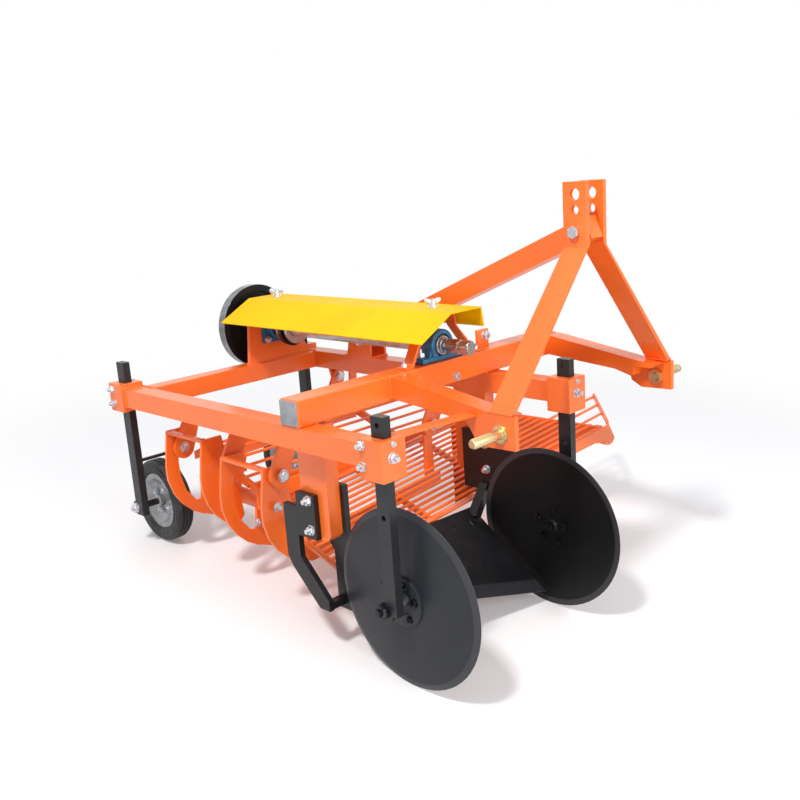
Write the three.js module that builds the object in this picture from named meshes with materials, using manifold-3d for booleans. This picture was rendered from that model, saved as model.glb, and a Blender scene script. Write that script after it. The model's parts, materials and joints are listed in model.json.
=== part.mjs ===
// Side-discharge vibrating potato harvester for a three-point hitch.
// Millimetres. X runs from the machine's right side (-X) to its discharge side (+X),
// Y runs rearwards from the lower hitch pins, Z runs up. The machine is drawn level with
// z = 0 under the coulter discs, then turned by parkTilt so that discs and wheels share one floor.
import * as THREE from "three";
import Module from "manifold-3d";

const wasm = await Module();
wasm.setup();
const { Manifold, CrossSection } = wasm;

// ---- driving dimensions -------------------------------------------------------------
const seam = 0.3; // gap between pieces that touch
const parkTilt = 5.4; // degrees the level frame dips to the rear on its wheels
const facets = 40;

// hitch
const pinHeight = 520;
const hitchShoulder = 322.5; // x of each lower pin's shoulder
const hitchPlateThick = 12;
const lowerPinDia = 22;
const lowerPinReach = 85;
const mastTop = 1012;
const mastBarWidth = 60;
const mastBarThick = 12;
const mastGap = 52; // clear width between the two mast plates
const topHoleDia = 25.5;
const topHoleHeight = 985;
const spareHoleDia = 19.5;
const spareHoleHeight = 952;
const mastBoltHeight = 905;
const mastBoltDia = 16;

// main frame
const rowCentre = -255; // x of the digging row's centre line
const sideBeamOffset = 305; // from the row's centre to each side beam's centre
const beamWidth = 50;
const beamHeight = 50;
const beamTop = 548;
const frontBeamY = 320;
const frontBeamSize = 60;
const frontBeamFarEnd = 300;
const rearBeamY = 1000;
const sideBeamFront = 130;
const sideBeamTail = 12; // how far the side beams run on behind the rear beam
const armWidth = 50;
const stemRise = 54; // stems stand this far above the beams

// stems, discs and wheels
const stemX = 20;
const stemY = 35;
const stemFit = 0.4;
const discLead = 15; // disc axle ahead of the side beams' front ends
const discDia = 400;
const discThick = 5;
const discAxleZ = 190;
const discInset = 48; // disc plane inward of its stem's centre
const discHubDia = 110;
const wheelTrail = 46; // wheel axle behind the side beams' rear ends
const wheelDia = 235;
const wheelWidth = 55;
const wheelInset = 76; // wheel centre inward of its stem's centre
const rimDia = 158;

// drive
const shaftX = -120;
const shaftRise = 37; // shaft above the front beam
const stubDia = 35;
const shaftDia = 40;
const stubReach = 110; // stub's end ahead of the front bearing's middle
const flywheelDia = 242;
const flywheelThick = 30;
const flywheelGap = 76; // flywheel behind the rear beam's front face
const eccentricity = 8;
const eccentricDia = 70;
const conrodLead = 20; // connecting rod ahead of the rear rib
const conrodThick = 14;
const conrodReach = 88; // its far eye beyond the far side beam's centre
const conrodBigDia = 98;
const conrodSmallDia = 46;
const shaftFit = 0.3;

// guard
const guardRise = 90; // guard above the shaft
const guardHalfTop = 54;
const guardSheet = 3;
const guardNose = 100; // guard's front edge ahead of the front bearing's middle
const guardTail = 35; // and its rear edge behind the rear beam's front face

// sieve
const bedFront = 358;
const bedRear = 665;
const bedZ0 = 202;
const bedRiseY = 0.31;
const bedRiseX = 0.084;
const bedInset = 65; // bed's near edge inward of the near beam's inner face
const frontStrip = 22;
const rearStrip = 24;
const rodDia = 9;
const rodPitch = 19;
const rodCount = 14;
const rodLead = 9.5; // first rod behind the front strip
const flatTall = 16;
const deckY = 700; // first rod of the raised rear grid
const deckZ = 330;
const deckPitch = 40;
const deckRise = 0.35;
const deckRods = 5;
const ribThick = 8;
const ribFrontRod = 7.5; // front rib between the eighth and ninth rods
const ribRearLead = 55; // rear rib ahead of the rear beam
const ribRearLift = 31; // its near end stands this much higher
const ribExtraLead = 164; // solid fourth plate ahead of the rear rib
const railWidth = 14; // level rails that join the ribs' near ends
const tubeDia = 42;
const tubeX = -395;
const tubeZ = 240;

// hangers that let the sieve shake crosswise
const hangerLean = 25; // degrees from upright, foot towards the near side
const hangerLength = 92;
const hangerDrop = 26; // top pins below the beams
const hangerWidth = 44; // across its top
const hangerFootWidth = 60;
const hangerThick = 8;
const hangerPinDia = 16;
const hangerTopFit = 0.3;
const hangerFootFit = 0.9;
const hangerSpace = 5.5; // between a hanger and the plates beside it
const nearHangerInset = 70; // near top pins inward of the near beam's inner face

// share
const legInset = 50; // near leg's inner face, which the share meets, inward of the near beam's inner face
const shareFlare = 6;
const shareThick = 8;
const shareTipY = 150;
const shareGap = 8; // share's rear edge ahead of the bed
const shareTipZ = 84;
const shareRearZ = 205;
const shareDrop = 62; // how far each wing's corner hangs below the centre ridge
const keelThick = 10;

// ---- helpers -------------------------------------------------------------------------
const rad = (d) => (d * Math.PI) / 180;
const nearBeamX = rowCentre - sideBeamOffset;
const farBeamX = rowCentre + sideBeamOffset;
const beamBottom = beamTop - beamHeight;
const sideBeamRear = rearBeamY + beamWidth + sideBeamTail;
const stemTop = beamTop + stemRise;
const discStemY = sideBeamFront - discLead;
const wheelAxleY = sideBeamRear + wheelTrail;
const bearingY = frontBeamY + frontBeamSize / 2;
const shaftZ = beamTop + frontBeamSize + shaftRise;
const shaftFront = bearingY - stubReach;
const flywheelFront = rearBeamY + flywheelGap;
const guardTop = shaftZ + guardRise;
const guardFront = bearingY - guardNose;
const guardRear = rearBeamY + guardTail;
const nearInner = nearBeamX + beamWidth / 2;
const bedNear = nearInner + bedInset;
const rodStart = bedFront + frontStrip + rodLead;
const ribFrontY = rodStart + ribFrontRod * rodPitch;
const ribMiddleY = deckY;
const ribRearY = rearBeamY - ribRearLead;
const conrodY = ribRearY - conrodLead;
const hangerTopZ = beamBottom - hangerDrop;
const nearHangerX = nearInner + nearHangerInset;
const farHangerX = farBeamX;
const legFace = nearInner + legInset;
const shareRearY = bedFront - shareGap;
const hitchTop = pinHeight + 42; // top of the hitch arms above the pins
const group = new THREE.Group();
group.name = "potato_harvester";

const box = (x0, x1, y0, y1, z0, z1) =>
  Manifold.cube([x1 - x0, y1 - y0, z1 - z0]).translate([x0, y0, z0]);
const unite = (...parts) => Manifold.union(parts);
const outline = (pts) => new CrossSection([pts], "EvenOdd");
// a plate given as [x, z] points, standing across Y from y0 to y1
const plateY = (pts, y0, y1) => {
  const flat = outline(pts.map(([x, z]) => [x, -z]));
  return flat.extrude(y1 - y0).rotate([-90, 0, 0]).translate([0, y0, 0]);
};
// a plate given as [y, z] points, standing across X from x0 to x1
const plateX = (pts, x0, x1) => {
  const flat = outline(pts);
  return flat.extrude(x1 - x0).transform([0, 1, 0, 0, 0, 0, 1, 0, 1, 0, 0, 0, x0, 0, 0, 1]);
};
// a plate given as [x, y] points, lying from z0 to z1
const plateZ = (pts, z0, z1) => outline(pts).extrude(z1 - z0).translate([0, 0, z0]);
const cyl = (r, length, sides = facets) => Manifold.cylinder(length, r, r, sides);
const cylX = (r, x0, x1, y, z, sides = facets) =>
  cyl(r, x1 - x0, sides).rotate([0, 90, 0]).translate([x0, y, z]);
const cylY = (r, y0, y1, x, z, sides = facets) =>
  cyl(r, y1 - y0, sides).rotate([-90, 0, 0]).translate([x, y0, z]);
// a body of revolution about X, from [radius, x] points
const turnedX = (pts, y, z, sides = facets) =>
  outline(pts.map(([r, x]) => [r, x])).revolve(sides).rotate([0, 90, 0]).translate([0, y, z]);
// a body of revolution about Y, from [radius, y] points
const turnedY = (pts, x, z, sides = facets) =>
  outline(pts.map(([r, y]) => [r, y])).revolve(sides).rotate([-90, 0, 0]).translate([x, 0, z]);
// a straight bar of section w x h from a to b; h lies in the upright plane holding the bar
const bar = (a, b, w, h) => {
  const d = new THREE.Vector3(...b).sub(new THREE.Vector3(...a));
  const length = d.length();
  const dir = d.clone().normalize();
  const side = new THREE.Vector3().crossVectors(new THREE.Vector3(0, 0, 1), dir).normalize();
  const up = new THREE.Vector3().crossVectors(dir, side);
  const body = box(0, length, -w / 2, w / 2, -h / 2, h / 2);
  return body.transform([
    dir.x, dir.y, dir.z, 0, side.x, side.y, side.z, 0, up.x, up.y, up.z, 0, a[0], a[1], a[2], 1,
  ]);
};
const rod = (a, b, dia, sides = 8) => {
  const d = new THREE.Vector3(...b).sub(new THREE.Vector3(...a));
  const q = new THREE.Quaternion().setFromUnitVectors(new THREE.Vector3(0, 0, 1), d.clone().normalize());
  const m = new THREE.Matrix4().makeRotationFromQuaternion(q).setPosition(...a);
  return cyl(dia / 2, d.length(), sides).transform(m.elements);
};
const bedZ = (x, y) => bedZ0 + bedRiseY * (y - bedFront) + bedRiseX * (x + 100);

const paints = {
  orange: 0xf26a1b, yellow: 0xf5d400, blue: 0x1f5d8c, black: 0x1d1f22, zinc: 0xc9a94e,
  steel: 0xa9adb0, tyre: 0x161616, rim: 0x8d9092,
};
const floorTurn = new THREE.Matrix4().makeRotationX(rad(-parkTilt));
const add = (name, body, paint) => {
  const mesh = body.getMesh();
  const geometry = new THREE.BufferGeometry();
  const points = new Float32Array(mesh.numVert * 3);
  for (let i = 0; i < mesh.numVert; i++) {
    for (let k = 0; k < 3; k++) points[3 * i + k] = mesh.vertProperties[mesh.numProp * i + k];
  }
  geometry.setAttribute("position", new THREE.BufferAttribute(points, 3));
  geometry.setIndex([...mesh.triVerts]);
  geometry.applyMatrix4(floorTurn);
  geometry.computeVertexNormals();
  const material = new THREE.MeshStandardMaterial({ color: paints[paint], roughness: 0.5 });
  material.name = paint;
  const made = new THREE.Mesh(geometry, material);
  made.name = name;
  group.add(made);
};

// ---- hitch ---------------------------------------------------------------------------
// One side's arm and plate, drawn on the far side and mirrored for the near one.
const plateOut = hitchShoulder - 6;
const plateIn = plateOut - hitchPlateThick;
const hitchSide = () => {
  const arm = plateX(
    [[55, pinHeight + 2], [100, pinHeight + 15], [frontBeamY - seam, beamTop + 8], [frontBeamY - seam, beamTop + 58],
      [frontBeamY - 20, beamTop + 58], [30, hitchTop], [-20, hitchTop - 6], [20, pinHeight + 10]],
    plateOut - armWidth, plateOut);
  const plate = plateX(
    [[-38, pinHeight - 32], [-38, hitchTop - 2], [40, hitchTop], [110, hitchTop - 2], [70, pinHeight - 20],
      [40, pinHeight - 34]],
    plateIn, plateOut);
  const hole = cylX(lowerPinDia / 2 + shaftFit, plateIn - 60, plateOut + 5, 0, pinHeight);
  const nutRoom = box(plateOut - armWidth - 1, plateIn, -25, 45, pinHeight - 30, pinHeight + 26);
  return unite(arm, plate).subtract(hole).subtract(nutRoom);
};
const mirrorX = (body) => body.mirror([1, 0, 0]);
add("hitch_arm_far", hitchSide(), "orange");
add("hitch_arm_near", mirrorX(hitchSide()), "orange");

const lowerPin = () => {
  const shank = cylX(lowerPinDia / 2, plateIn - 16, hitchShoulder + lowerPinReach - 5, 0, pinHeight);
  const tip = turnedX(
    [[0, 0], [lowerPinDia / 2, 0], [lowerPinDia / 2 - 3, 5], [0, 5]], 0, pinHeight)
    .translate([hitchShoulder + lowerPinReach - 5, 0, 0]);
  const collar = cylX(18, plateOut + seam, hitchShoulder, 0, pinHeight);
  const nut = cylX(19, plateIn - 16, plateIn - seam, 0, pinHeight, 6);
  return unite(shank, tip, collar, nut);
};
add("lower_pin_far", lowerPin(), "zinc");
add("lower_pin_near", mirrorX(lowerPin()), "zinc");

// A flat bar that leans in from the hitch plate and then stands up beside the other one.
const mastSide = () => {
  const foot = hitchTop + seam + 0.4;
  const inX = mastGap / 2;
  const bend = mastTop - 140;
  const body = plateY(
    [[plateOut, foot], [plateOut - 16, foot], [inX, bend + 5], [inX, mastTop], [inX + mastBarThick, mastTop],
      [inX + mastBarThick, bend]],
    -mastBarWidth / 2, mastBarWidth / 2);
  const hole = (dia, z) => cylX(dia / 2, 0, 80, 0, z);
  return body
    .subtract(hole(topHoleDia, topHoleHeight))
    .subtract(hole(spareHoleDia, spareHoleHeight))
    .subtract(hole(mastBoltDia + 2 * shaftFit, mastBoltHeight));
};
add("mast_far", mastSide(), "orange");
add("mast_near", mirrorX(mastSide()), "orange");
const boltOut = mastGap / 2 + mastBarThick + seam;
add("mast_bolt", unite(
  cylX(mastBoltDia / 2, -boltOut - 11, boltOut + 14, 0, mastBoltHeight, 24),
  cylX(14, -boltOut - 11, -boltOut, 0, mastBoltHeight, 6),
  cylX(14, boltOut, boltOut + 13, 0, mastBoltHeight, 6)), "steel");

// brace from the mast down to the far side beam
const braceFoot = [farBeamX - 4, 800, beamTop + 42];
const braceWidth = 40;
const braceSkew = braceFoot[0] / (braceFoot[1] + 22); // how far it runs sideways on its way back
add("mast_brace", bar(
  [0, -22, mastBoltHeight + 9], [braceFoot[0], braceFoot[1], braceFoot[2]], braceWidth, 50)
  .subtract(box(mastGap / 2 - 2.3, 120, -60, mastBarWidth / 2 + seam, 600, mastTop))
  .subtract(cylX(mastBoltDia / 2 + shaftFit, -60, 60, 0, mastBoltHeight, 24))
  .subtract(cylX(8 + shaftFit, braceFoot[0] - 60, braceFoot[0] + 60, braceFoot[1] - 20, braceFoot[2] + 6, 24)), "orange");
const earX = braceFoot[0] - 1;
const earGap = braceWidth / 2 + 0.64 + 60 * braceSkew;
add("brace_bracket", unite(
  box(earX - earGap - 8, earX + earGap + 8, 735, 850, beamTop + seam, beamTop + 6),
  plateX([[740, beamTop + 5], [740, beamTop + 44], [760, beamTop + 62], [800, beamTop + 62], [830, beamTop + 40],
    [840, beamTop + 5]], earX - earGap - 8, earX - earGap),
  plateX([[740, beamTop + 5], [740, beamTop + 44], [760, beamTop + 62], [800, beamTop + 62], [830, beamTop + 40],
    [840, beamTop + 5]], earX + earGap, earX + earGap + 8),
  cylX(8, earX - earGap - 16, earX + earGap + 16, braceFoot[1] - 20, braceFoot[2] + 6, 24)), "orange");

// ---- main frame ----------------------------------------------------------------------
add("front_beam", box(nearBeamX - beamWidth / 2, frontBeamFarEnd + 16, frontBeamY, frontBeamY + frontBeamSize,
  beamTop + seam, beamTop + frontBeamSize), "orange");
const sideBeam = (x) =>
  box(x - beamWidth / 2, x + beamWidth / 2, sideBeamFront, sideBeamRear, beamBottom, beamTop);
add("rear_beam", box(nearBeamX + beamWidth / 2 + seam, farBeamX - beamWidth / 2 - seam, rearBeamY,
  rearBeamY + beamWidth, beamBottom, beamTop), "orange");

// clamps that hold the four stems
const clamp = (x, y, up, down) => {
  const body = box(x - 33, x + 33, y - 33, y + 33, beamBottom - down, beamTop + up);
  const slot = box(x - stemX / 2 - stemFit, x + stemX / 2 + stemFit, y - stemY / 2 - stemFit,
    y + stemY / 2 + stemFit, beamBottom - 80, beamTop + 80);
  return body.subtract(slot);
};
const frontClampY = sideBeamFront - seam - 33;
const rearClampY = sideBeamRear + seam + 33;
add("clamp_front_near", clamp(nearBeamX, frontClampY, 12, 22), "orange");
add("clamp_front_far", clamp(farBeamX, frontClampY, 12, 22), "orange");
add("clamp_rear_near", clamp(nearBeamX, rearClampY, 12, 14), "orange");
add("clamp_rear_far", clamp(farBeamX, rearClampY, 12, 14), "orange");

// ---- coulter discs -------------------------------------------------------------------
// side = +1 for the near unit (disc on the +X side of its stem), -1 for the far one
const discStem = (x, side) => {
  const stem = box(x - stemX / 2, x + stemX / 2, frontClampY - stemY / 2, frontClampY + stemY / 2,
    discAxleZ - 5, stemTop);
  const foot = cylX(26, x - 10, x + 10, discStemY, discAxleZ);
  const web = box(x - 10, x + 10, frontClampY - stemY / 2, discStemY + 8, discAxleZ - 8, discAxleZ + 60);
  const x0 = side > 0 ? x + 9 : x - discInset + 14;
  const axle = cylX(10, x0, x0 + discInset - 23, discStemY, discAxleZ);
  const adjust = [0, 1].map((i) => cylX(6, x - 40, x + 40, frontClampY, stemTop - 18 - 190 * i, 16));
  return unite(stem, foot, web, axle).subtract(unite(...adjust));
};
const discBody = (x, side) => {
  // radius, distance from the disc's centre plane; the dish opens away from the stem
  const r = discDia / 2;
  const t = discThick;
  const dish = [[0, -t / 2], [60, -t / 2], [r - 14, -t / 2 + 7], [r, 9.5], [r, 11], [r - 14, t / 2 + 7], [60, t / 2], [0, t / 2]];
  const plate = turnedX(dish.map(([a, b]) => [a, side * b]), 0, 0, 64);
  const hub = turnedX([[0, -side * 30], [22, -side * 30], [28, -side * 10], [discHubDia / 2, -side * 8],
    [discHubDia / 2, 0], [0, 0]], 0, 0, 48);
  return unite(plate, hub).translate([x + side * discInset, discStemY, discAxleZ]);
};
for (const [tag, x, side] of [["near", nearBeamX, 1], ["far", farBeamX, -1]]) {
  const boreEnd = x + side * (discInset - 10);
  const bore = cylX(10 + shaftFit, Math.min(x, boreEnd), Math.max(x, boreEnd), discStemY, discAxleZ);
  add(`disc_stem_${tag}`, discStem(x, side), "black");
  add(`coulter_disc_${tag}`, discBody(x, side).subtract(bore), "black");
}

// ---- depth wheels --------------------------------------------------------------------
const sin = Math.sin(rad(parkTilt));
const cos = Math.cos(rad(parkTilt));
const floorLevel = -discStemY * sin + discAxleZ * cos - discDia / 2;
const wheelAxleZ = (wheelDia / 2 + floorLevel + wheelAxleY * sin) / cos;
for (const [tag, x, side] of [["near", nearBeamX, 1], ["far", farBeamX, -1]]) {
  const wx = x + side * wheelInset;
  const stem = box(x - stemX / 2, x + stemX / 2, rearClampY - stemY / 2, rearClampY + stemY / 2,
    wheelAxleZ - 20, stemTop + 12);
  const foot = cylX(20, x - 10, x + 10, wheelAxleY, wheelAxleZ, 24);
  const axleEnd = wx + side * 30;
  const axle = cylX(9, Math.min(x, axleEnd), Math.max(x, axleEnd), wheelAxleY, wheelAxleZ, 24);
  const scraperZ = wheelAxleZ + wheelDia / 2 + 12;
  const scraperEnd = wx + side * (wheelWidth / 2);
  const scraper = box(Math.min(x, scraperEnd), Math.max(x, scraperEnd), rearClampY - 4, rearClampY + 4,
    scraperZ, scraperZ + 8);
  add(`wheel_stem_${tag}`, unite(stem, foot, axle, scraper), "black");
  const rr = rimDia / 2;
  const h = wheelWidth / 2;
  const rim = turnedX([[9 + shaftFit, -h + 4], [18, -h + 4], [18, -5], [rr - 26, -5], [rr - 14, -h + 9], [rr, -h + 9],
    [rr, h - 9], [rr - 14, h - 9], [rr - 26, 5], [18, 5], [18, h - 4], [9 + shaftFit, h - 4]], wheelAxleY, wheelAxleZ, 48);
  const tr = wheelDia / 2;
  const tyre = turnedX([[rr + seam, -h + 9], [rr + 8, -h + 1], [tr - 14, -h], [tr - 5, -h + 5], [tr, -h + 14],
    [tr, h - 14], [tr - 5, h - 5], [tr - 14, h], [rr + 8, h - 1], [rr + seam, h - 9]], wheelAxleY, wheelAxleZ, 64);
  add(`wheel_rim_${tag}`, rim.translate([wx, 0, 0]), "rim");
  add(`wheel_tyre_${tag}`, tyre.translate([wx, 0, 0]), "tyre");
}

// ---- drive ---------------------------------------------------------------------------
const seat = beamTop + frontBeamSize + seam; // top of the front beam
const bearingBore = shaftDia / 2 + shaftFit;
const frontBearing = unite(
  box(shaftX - 75, shaftX + 75, bearingY - 22, bearingY + 22, seat, seat + 14),
  plateY([[shaftX - 46, seat + 13], [shaftX - 34, shaftZ + 14], [shaftX - 20, shaftZ + 31], [shaftX + 20, shaftZ + 31],
    [shaftX + 34, shaftZ + 14], [shaftX + 46, seat + 13]], bearingY - 20, bearingY + 20))
  .subtract(cylY(bearingBore, bearingY - 60, bearingY + 60, shaftX, shaftZ));
add("bearing_front", frontBearing, "blue");
const strap = (half, top, width, y, foot) => unite(
  plateY([[shaftX - half - 22, foot], [shaftX - half - 22, foot + 6], [shaftX - half - 3, foot + 6],
    [shaftX - guardHalfTop + 4, top], [shaftX + guardHalfTop - 12, top], [shaftX + guardHalfTop - 5, top - 46],
    [shaftX + half + 3, foot + 6],
    [shaftX + half + 22, foot + 6], [shaftX + half + 22, foot], [shaftX + half - 3, foot],
    [shaftX + guardHalfTop - 11, top - 44], [shaftX + guardHalfTop - 17, top - 6], [shaftX - guardHalfTop + 8, top - 6], [shaftX - half + 3, foot]],
    y - width / 2, y + width / 2));
add("guard_strap_front", strap(112, guardTop - guardSheet - seam, 30, 341, seat), "orange");

const pedestalFoot = beamTop + seam;
const pedestal = plateY([[shaftX - 92, pedestalFoot], [shaftX - 78, guardTop - 52], [shaftX - guardHalfTop + 3, guardTop - guardSheet - seam],
  [shaftX + guardHalfTop - 10, guardTop - guardSheet - seam], [shaftX + guardHalfTop - 5, guardTop - 52],
  [shaftX + 66, shaftZ + 30], [shaftX + 132, pedestalFoot]], rearBeamY + 8, rearBeamY + 20)
  .subtract(cylY(shaftDia / 2 + 6, rearBeamY - 20, rearBeamY + 60, shaftX, shaftZ));
add("pedestal_rear", pedestal, "orange");
const flange = unite(
  plateY([[shaftX - 42, shaftZ - 42], [shaftX + 42, shaftZ - 42], [shaftX + 42, shaftZ + 42], [shaftX - 42, shaftZ + 42]],
    rearBeamY - 5, rearBeamY + 8 - seam),
  cylY(30, rearBeamY - 24, rearBeamY, shaftX, shaftZ))
  .subtract(cylY(bearingBore, rearBeamY - 60, rearBeamY + 60, shaftX, shaftZ));
add("bearing_rear", flange, "blue");

const driveShaft = unite(
  cylY(stubDia / 2, shaftFront, 330, shaftX, shaftZ),
  cylY(shaftDia / 2, 322, flywheelFront + flywheelThick + 12, shaftX, shaftZ));
add("drive_shaft", driveShaft, "steel");
const wheelBore = shaftDia / 2 + seam;
const flywheel = turnedY([[wheelBore, flywheelFront - 8], [34, flywheelFront - 8], [34, flywheelFront + 8],
  [flywheelDia / 2 - 20, flywheelFront + 8], [flywheelDia / 2 - 20, flywheelFront], [flywheelDia / 2, flywheelFront],
  [flywheelDia / 2, flywheelFront + flywheelThick], [flywheelDia / 2 - 20, flywheelFront + flywheelThick],
  [flywheelDia / 2 - 20, flywheelFront + 20], [wheelBore, flywheelFront + 20]], shaftX, shaftZ, 64);
add("flywheel", flywheel, "black");
const eccentric = unite(
  cylY(eccentricDia / 2, conrodY - 14, conrodY + 14, shaftX + eccentricity, shaftZ),
  cylY(eccentricDia / 2 + 7, conrodY - 24, conrodY - 14, shaftX + eccentricity, shaftZ),
  cylY(eccentricDia / 2 + 7, conrodY + 14, conrodY + 24, shaftX + eccentricity, shaftZ))
  .subtract(cylY(wheelBore, conrodY - 60, conrodY + 60, shaftX, shaftZ));
add("eccentric", eccentric, "steel");
const rodX = shaftX + eccentricity;
const rodEnd = farBeamX + conrodReach;
const conrod = unite(
  cylY(conrodBigDia / 2, conrodY - conrodThick / 2, conrodY + conrodThick / 2, rodX, shaftZ),
  cylY(conrodSmallDia / 2, conrodY - conrodThick / 2, conrodY + conrodThick / 2, rodEnd, shaftZ),
  plateY([[rodX + 8, shaftZ - 46], [rodX + 46, shaftZ - 20], [rodEnd, shaftZ - 15], [rodEnd, shaftZ + 15],
    [rodX + 46, shaftZ + 20], [rodX + 8, shaftZ + 46]], conrodY - conrodThick / 2, conrodY + conrodThick / 2))
  .subtract(cylY(eccentricDia / 2 + shaftFit, conrodY - 40, conrodY + 40, rodX, shaftZ))
  .subtract(cylY(9, conrodY - 40, conrodY + 40, rodEnd, shaftZ, 24));
add("connecting_rod", conrod, "black");

// guard: a bent sheet, sloped on the near side and upright on the far side
const gx0 = shaftX - guardHalfTop;
const gx1 = shaftX + guardHalfTop;
const drop = [104, 55];
const guard = plateY([[gx0 - drop[0], guardTop - drop[1]], [gx0, guardTop], [gx1, guardTop], [gx1 + 8, guardTop - 48],
  [gx1 + 8 - guardSheet, guardTop - 48], [gx1 - guardSheet, guardTop - guardSheet], [gx0 + 1, guardTop - guardSheet],
  [gx0 - drop[0] + 1.6, guardTop - drop[1] - 2.6]], guardFront, guardRear);
add("drive_guard", guard, "yellow");

// ---- share and its carriers ----------------------------------------------------------
const shareHalf = rowCentre - legFace - seam;
const wing = (side) => {
  // a sloped wing from the centre ridge to its outer corner, given thickness straight down
  const rearX = rowCentre + side * shareHalf;
  const frontX = side > 0 ? rearX + shareFlare : rearX;
  const top = [[rowCentre, shareTipY, shareTipZ], [frontX, shareTipY - 28, shareTipZ - shareDrop],
    [rearX, shareRearY, shareRearZ - 6], [rowCentre, shareRearY, shareRearZ]];
  const low = top.map(([x, y, z], i) => [x, y + (i < 2 ? 6 : 0), z - (i < 2 ? 3 : shareThick)]);
  return Manifold.hull([...top, ...low]);
};
const keel = plateX([[shareTipY + 2, shareTipZ - 1], [shareTipY + 2, -4], [shareTipY + 130, 24], [shareRearY - 30, 150],
  [shareRearY - 30, shareRearZ - 22]], rowCentre - keelThick / 2, rowCentre + keelThick / 2);
const share = unite(wing(1), wing(-1), keel);
add("share", share, "black");

const postFoot = 279; // lower ends of the welded posts that carry the share
const postNear = [nearInner, nearInner + 35 - seam];
const nearPost = plateX([[309, postFoot + 13], [321, postFoot], [388, postFoot], [400, postFoot + 13], [400, beamTop - 6],
  [309, beamTop - 6]], nearInner - 0.5, postNear[1]);
const postFar = [farBeamX - beamWidth / 2 - seam, farBeamX - beamWidth / 2 + 34];
const farPost = plateX([[330, postFoot + 13], [342, postFoot], [425, postFoot], [437, postFoot + 13], [437, beamBottom + 1],
  [330, beamBottom + 1]], ...postFar);
// near side: a plate with a bent bar outside the post, a plate with a straight leg inside it
const nearArm = unite(
  plateX([[341, 280], [341, 384], [405, 384], [405, 348], [453, 348], [453, 222], [437, 196], [352, 116], [318, 116],
    [318, 140], [405, 226], [405, 280]], nearInner - 0.5 - seam - 14, nearInner - 0.5 - seam),
  box(postNear[0] - 10, legFace - 15 - seam, 318, 340, 118, 134));
add("share_arm_near", nearArm, "black");
add("share_leg_near", plateX([[298, 403], [361, 403], [361, 262], [345, 240], [345, 104], [298, 104]],
  legFace - 15, legFace), "black");
const farPlateX = postFar[0] - seam;
const farArm = unite(
  plateX([[235, 250], [235, 386], [300, 396], [404, 396], [404, 236], [300, 236]], farPlateX - 12, farPlateX),
  bar([farPlateX - 8, 334, 250], [rowCentre + shareHalf - 16, 330, shareRearZ - 26], 26, 24));
add("share_arm_far", farArm.subtract(unite(share, share.translate([0, 0, seam]))), "black");

// thin strap that ties the near clamp to the hitch plate
add("tie_strap", bar([nearBeamX + 26, frontClampY + 10, beamTop + 3], [-plateOut - 2, 78, hitchTop - 10], 30, 6)
  .subtract(box(-plateOut - seam, -plateIn + 60, 0, 200, 400, 700))
  .subtract(box(nearBeamX - 60, nearBeamX + 33 + seam, 0, 200, 400, 700)), "orange");

// ---- sieve ---------------------------------------------------------------------------
// the discharge edge runs obliquely: rods nearer the front reach further out
const bedEnd = (y) => 557 - 0.86 * (y - 419);
const gridEnd = (y) => 764 - 0.907 * (504 - y);
const onBed = (x, y, lift = 0) => [x, y, bedZ(x, y) + lift];
const rods = [];
for (let i = 0; i < rodCount; i++) {
  const y = rodStart + rodPitch * i;
  const end = i % 2 === 1 && y < 500 ? gridEnd(y) - 2 : bedEnd(y);
  rods.push(rod(onBed(bedNear, y), onBed(end, y), rodDia));
}
const stripFrontY = bedFront + frontStrip / 2;
const stripRearY = bedRear - rearStrip / 2;
rods.push(bar(onBed(bedNear, stripFrontY), onBed(600, stripFrontY), frontStrip, 6));
rods.push(bar(onBed(bedNear, stripRearY), onBed(bedEnd(bedRear) + 20, stripRearY), rearStrip, 6));
rods.push(bar(onBed(gridEnd(364), 364), onBed(gridEnd(490), 490), 7, 12));
const endFlat = [[bedEnd(bedFront) - 20, bedFront + 3], [bedEnd(bedRear) + 8, bedRear - 3]];
rods.push(bar(onBed(...endFlat[0]), onBed(...endFlat[1]), 8, 12));
rods.push(bar(onBed(bedNear + 4, bedFront + 3), onBed(bedNear + 4, bedRear - 3), 8, 12));
const flatSink = -flatTall / 2 - 1;
for (const x of [-330, -150, farHangerX + 50, 240]) {
  rods.push(bar(onBed(x, bedFront + 4, flatSink), onBed(x, bedRear - 4, flatSink), 8, flatTall));
}
// a thin sheet closes the gaps over the far corner, beyond an oblique line
const sheetEdge = (y) => -67 + 1.075 * (y - 369);
rods.push(plateZ([[sheetEdge(369), 369], [bedEnd(369) - 4, 369], [bedEnd(650) - 4, 650], [sheetEdge(650), 650]],
  -7, -4).warp((v) => {
  v[2] += bedZ(v[0], v[1]);
}));
add("sieve_bed", unite(...rods), "orange");

const lipStart = farBeamX + 12;
const lipPoints = [[lipStart, 332], [381, 328], [506, 322], [519, 314], [524, 300], [536, 292], [556, 294], [580, 303],
  [634, 357.7], [lipStart, 357.7]];
const lip = plateZ(lipPoints, -2.5, 2.5).warp((v) => {
  v[2] += bedZ(v[0], v[1]);
});
add("sieve_lip", lip, "orange");

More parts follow.
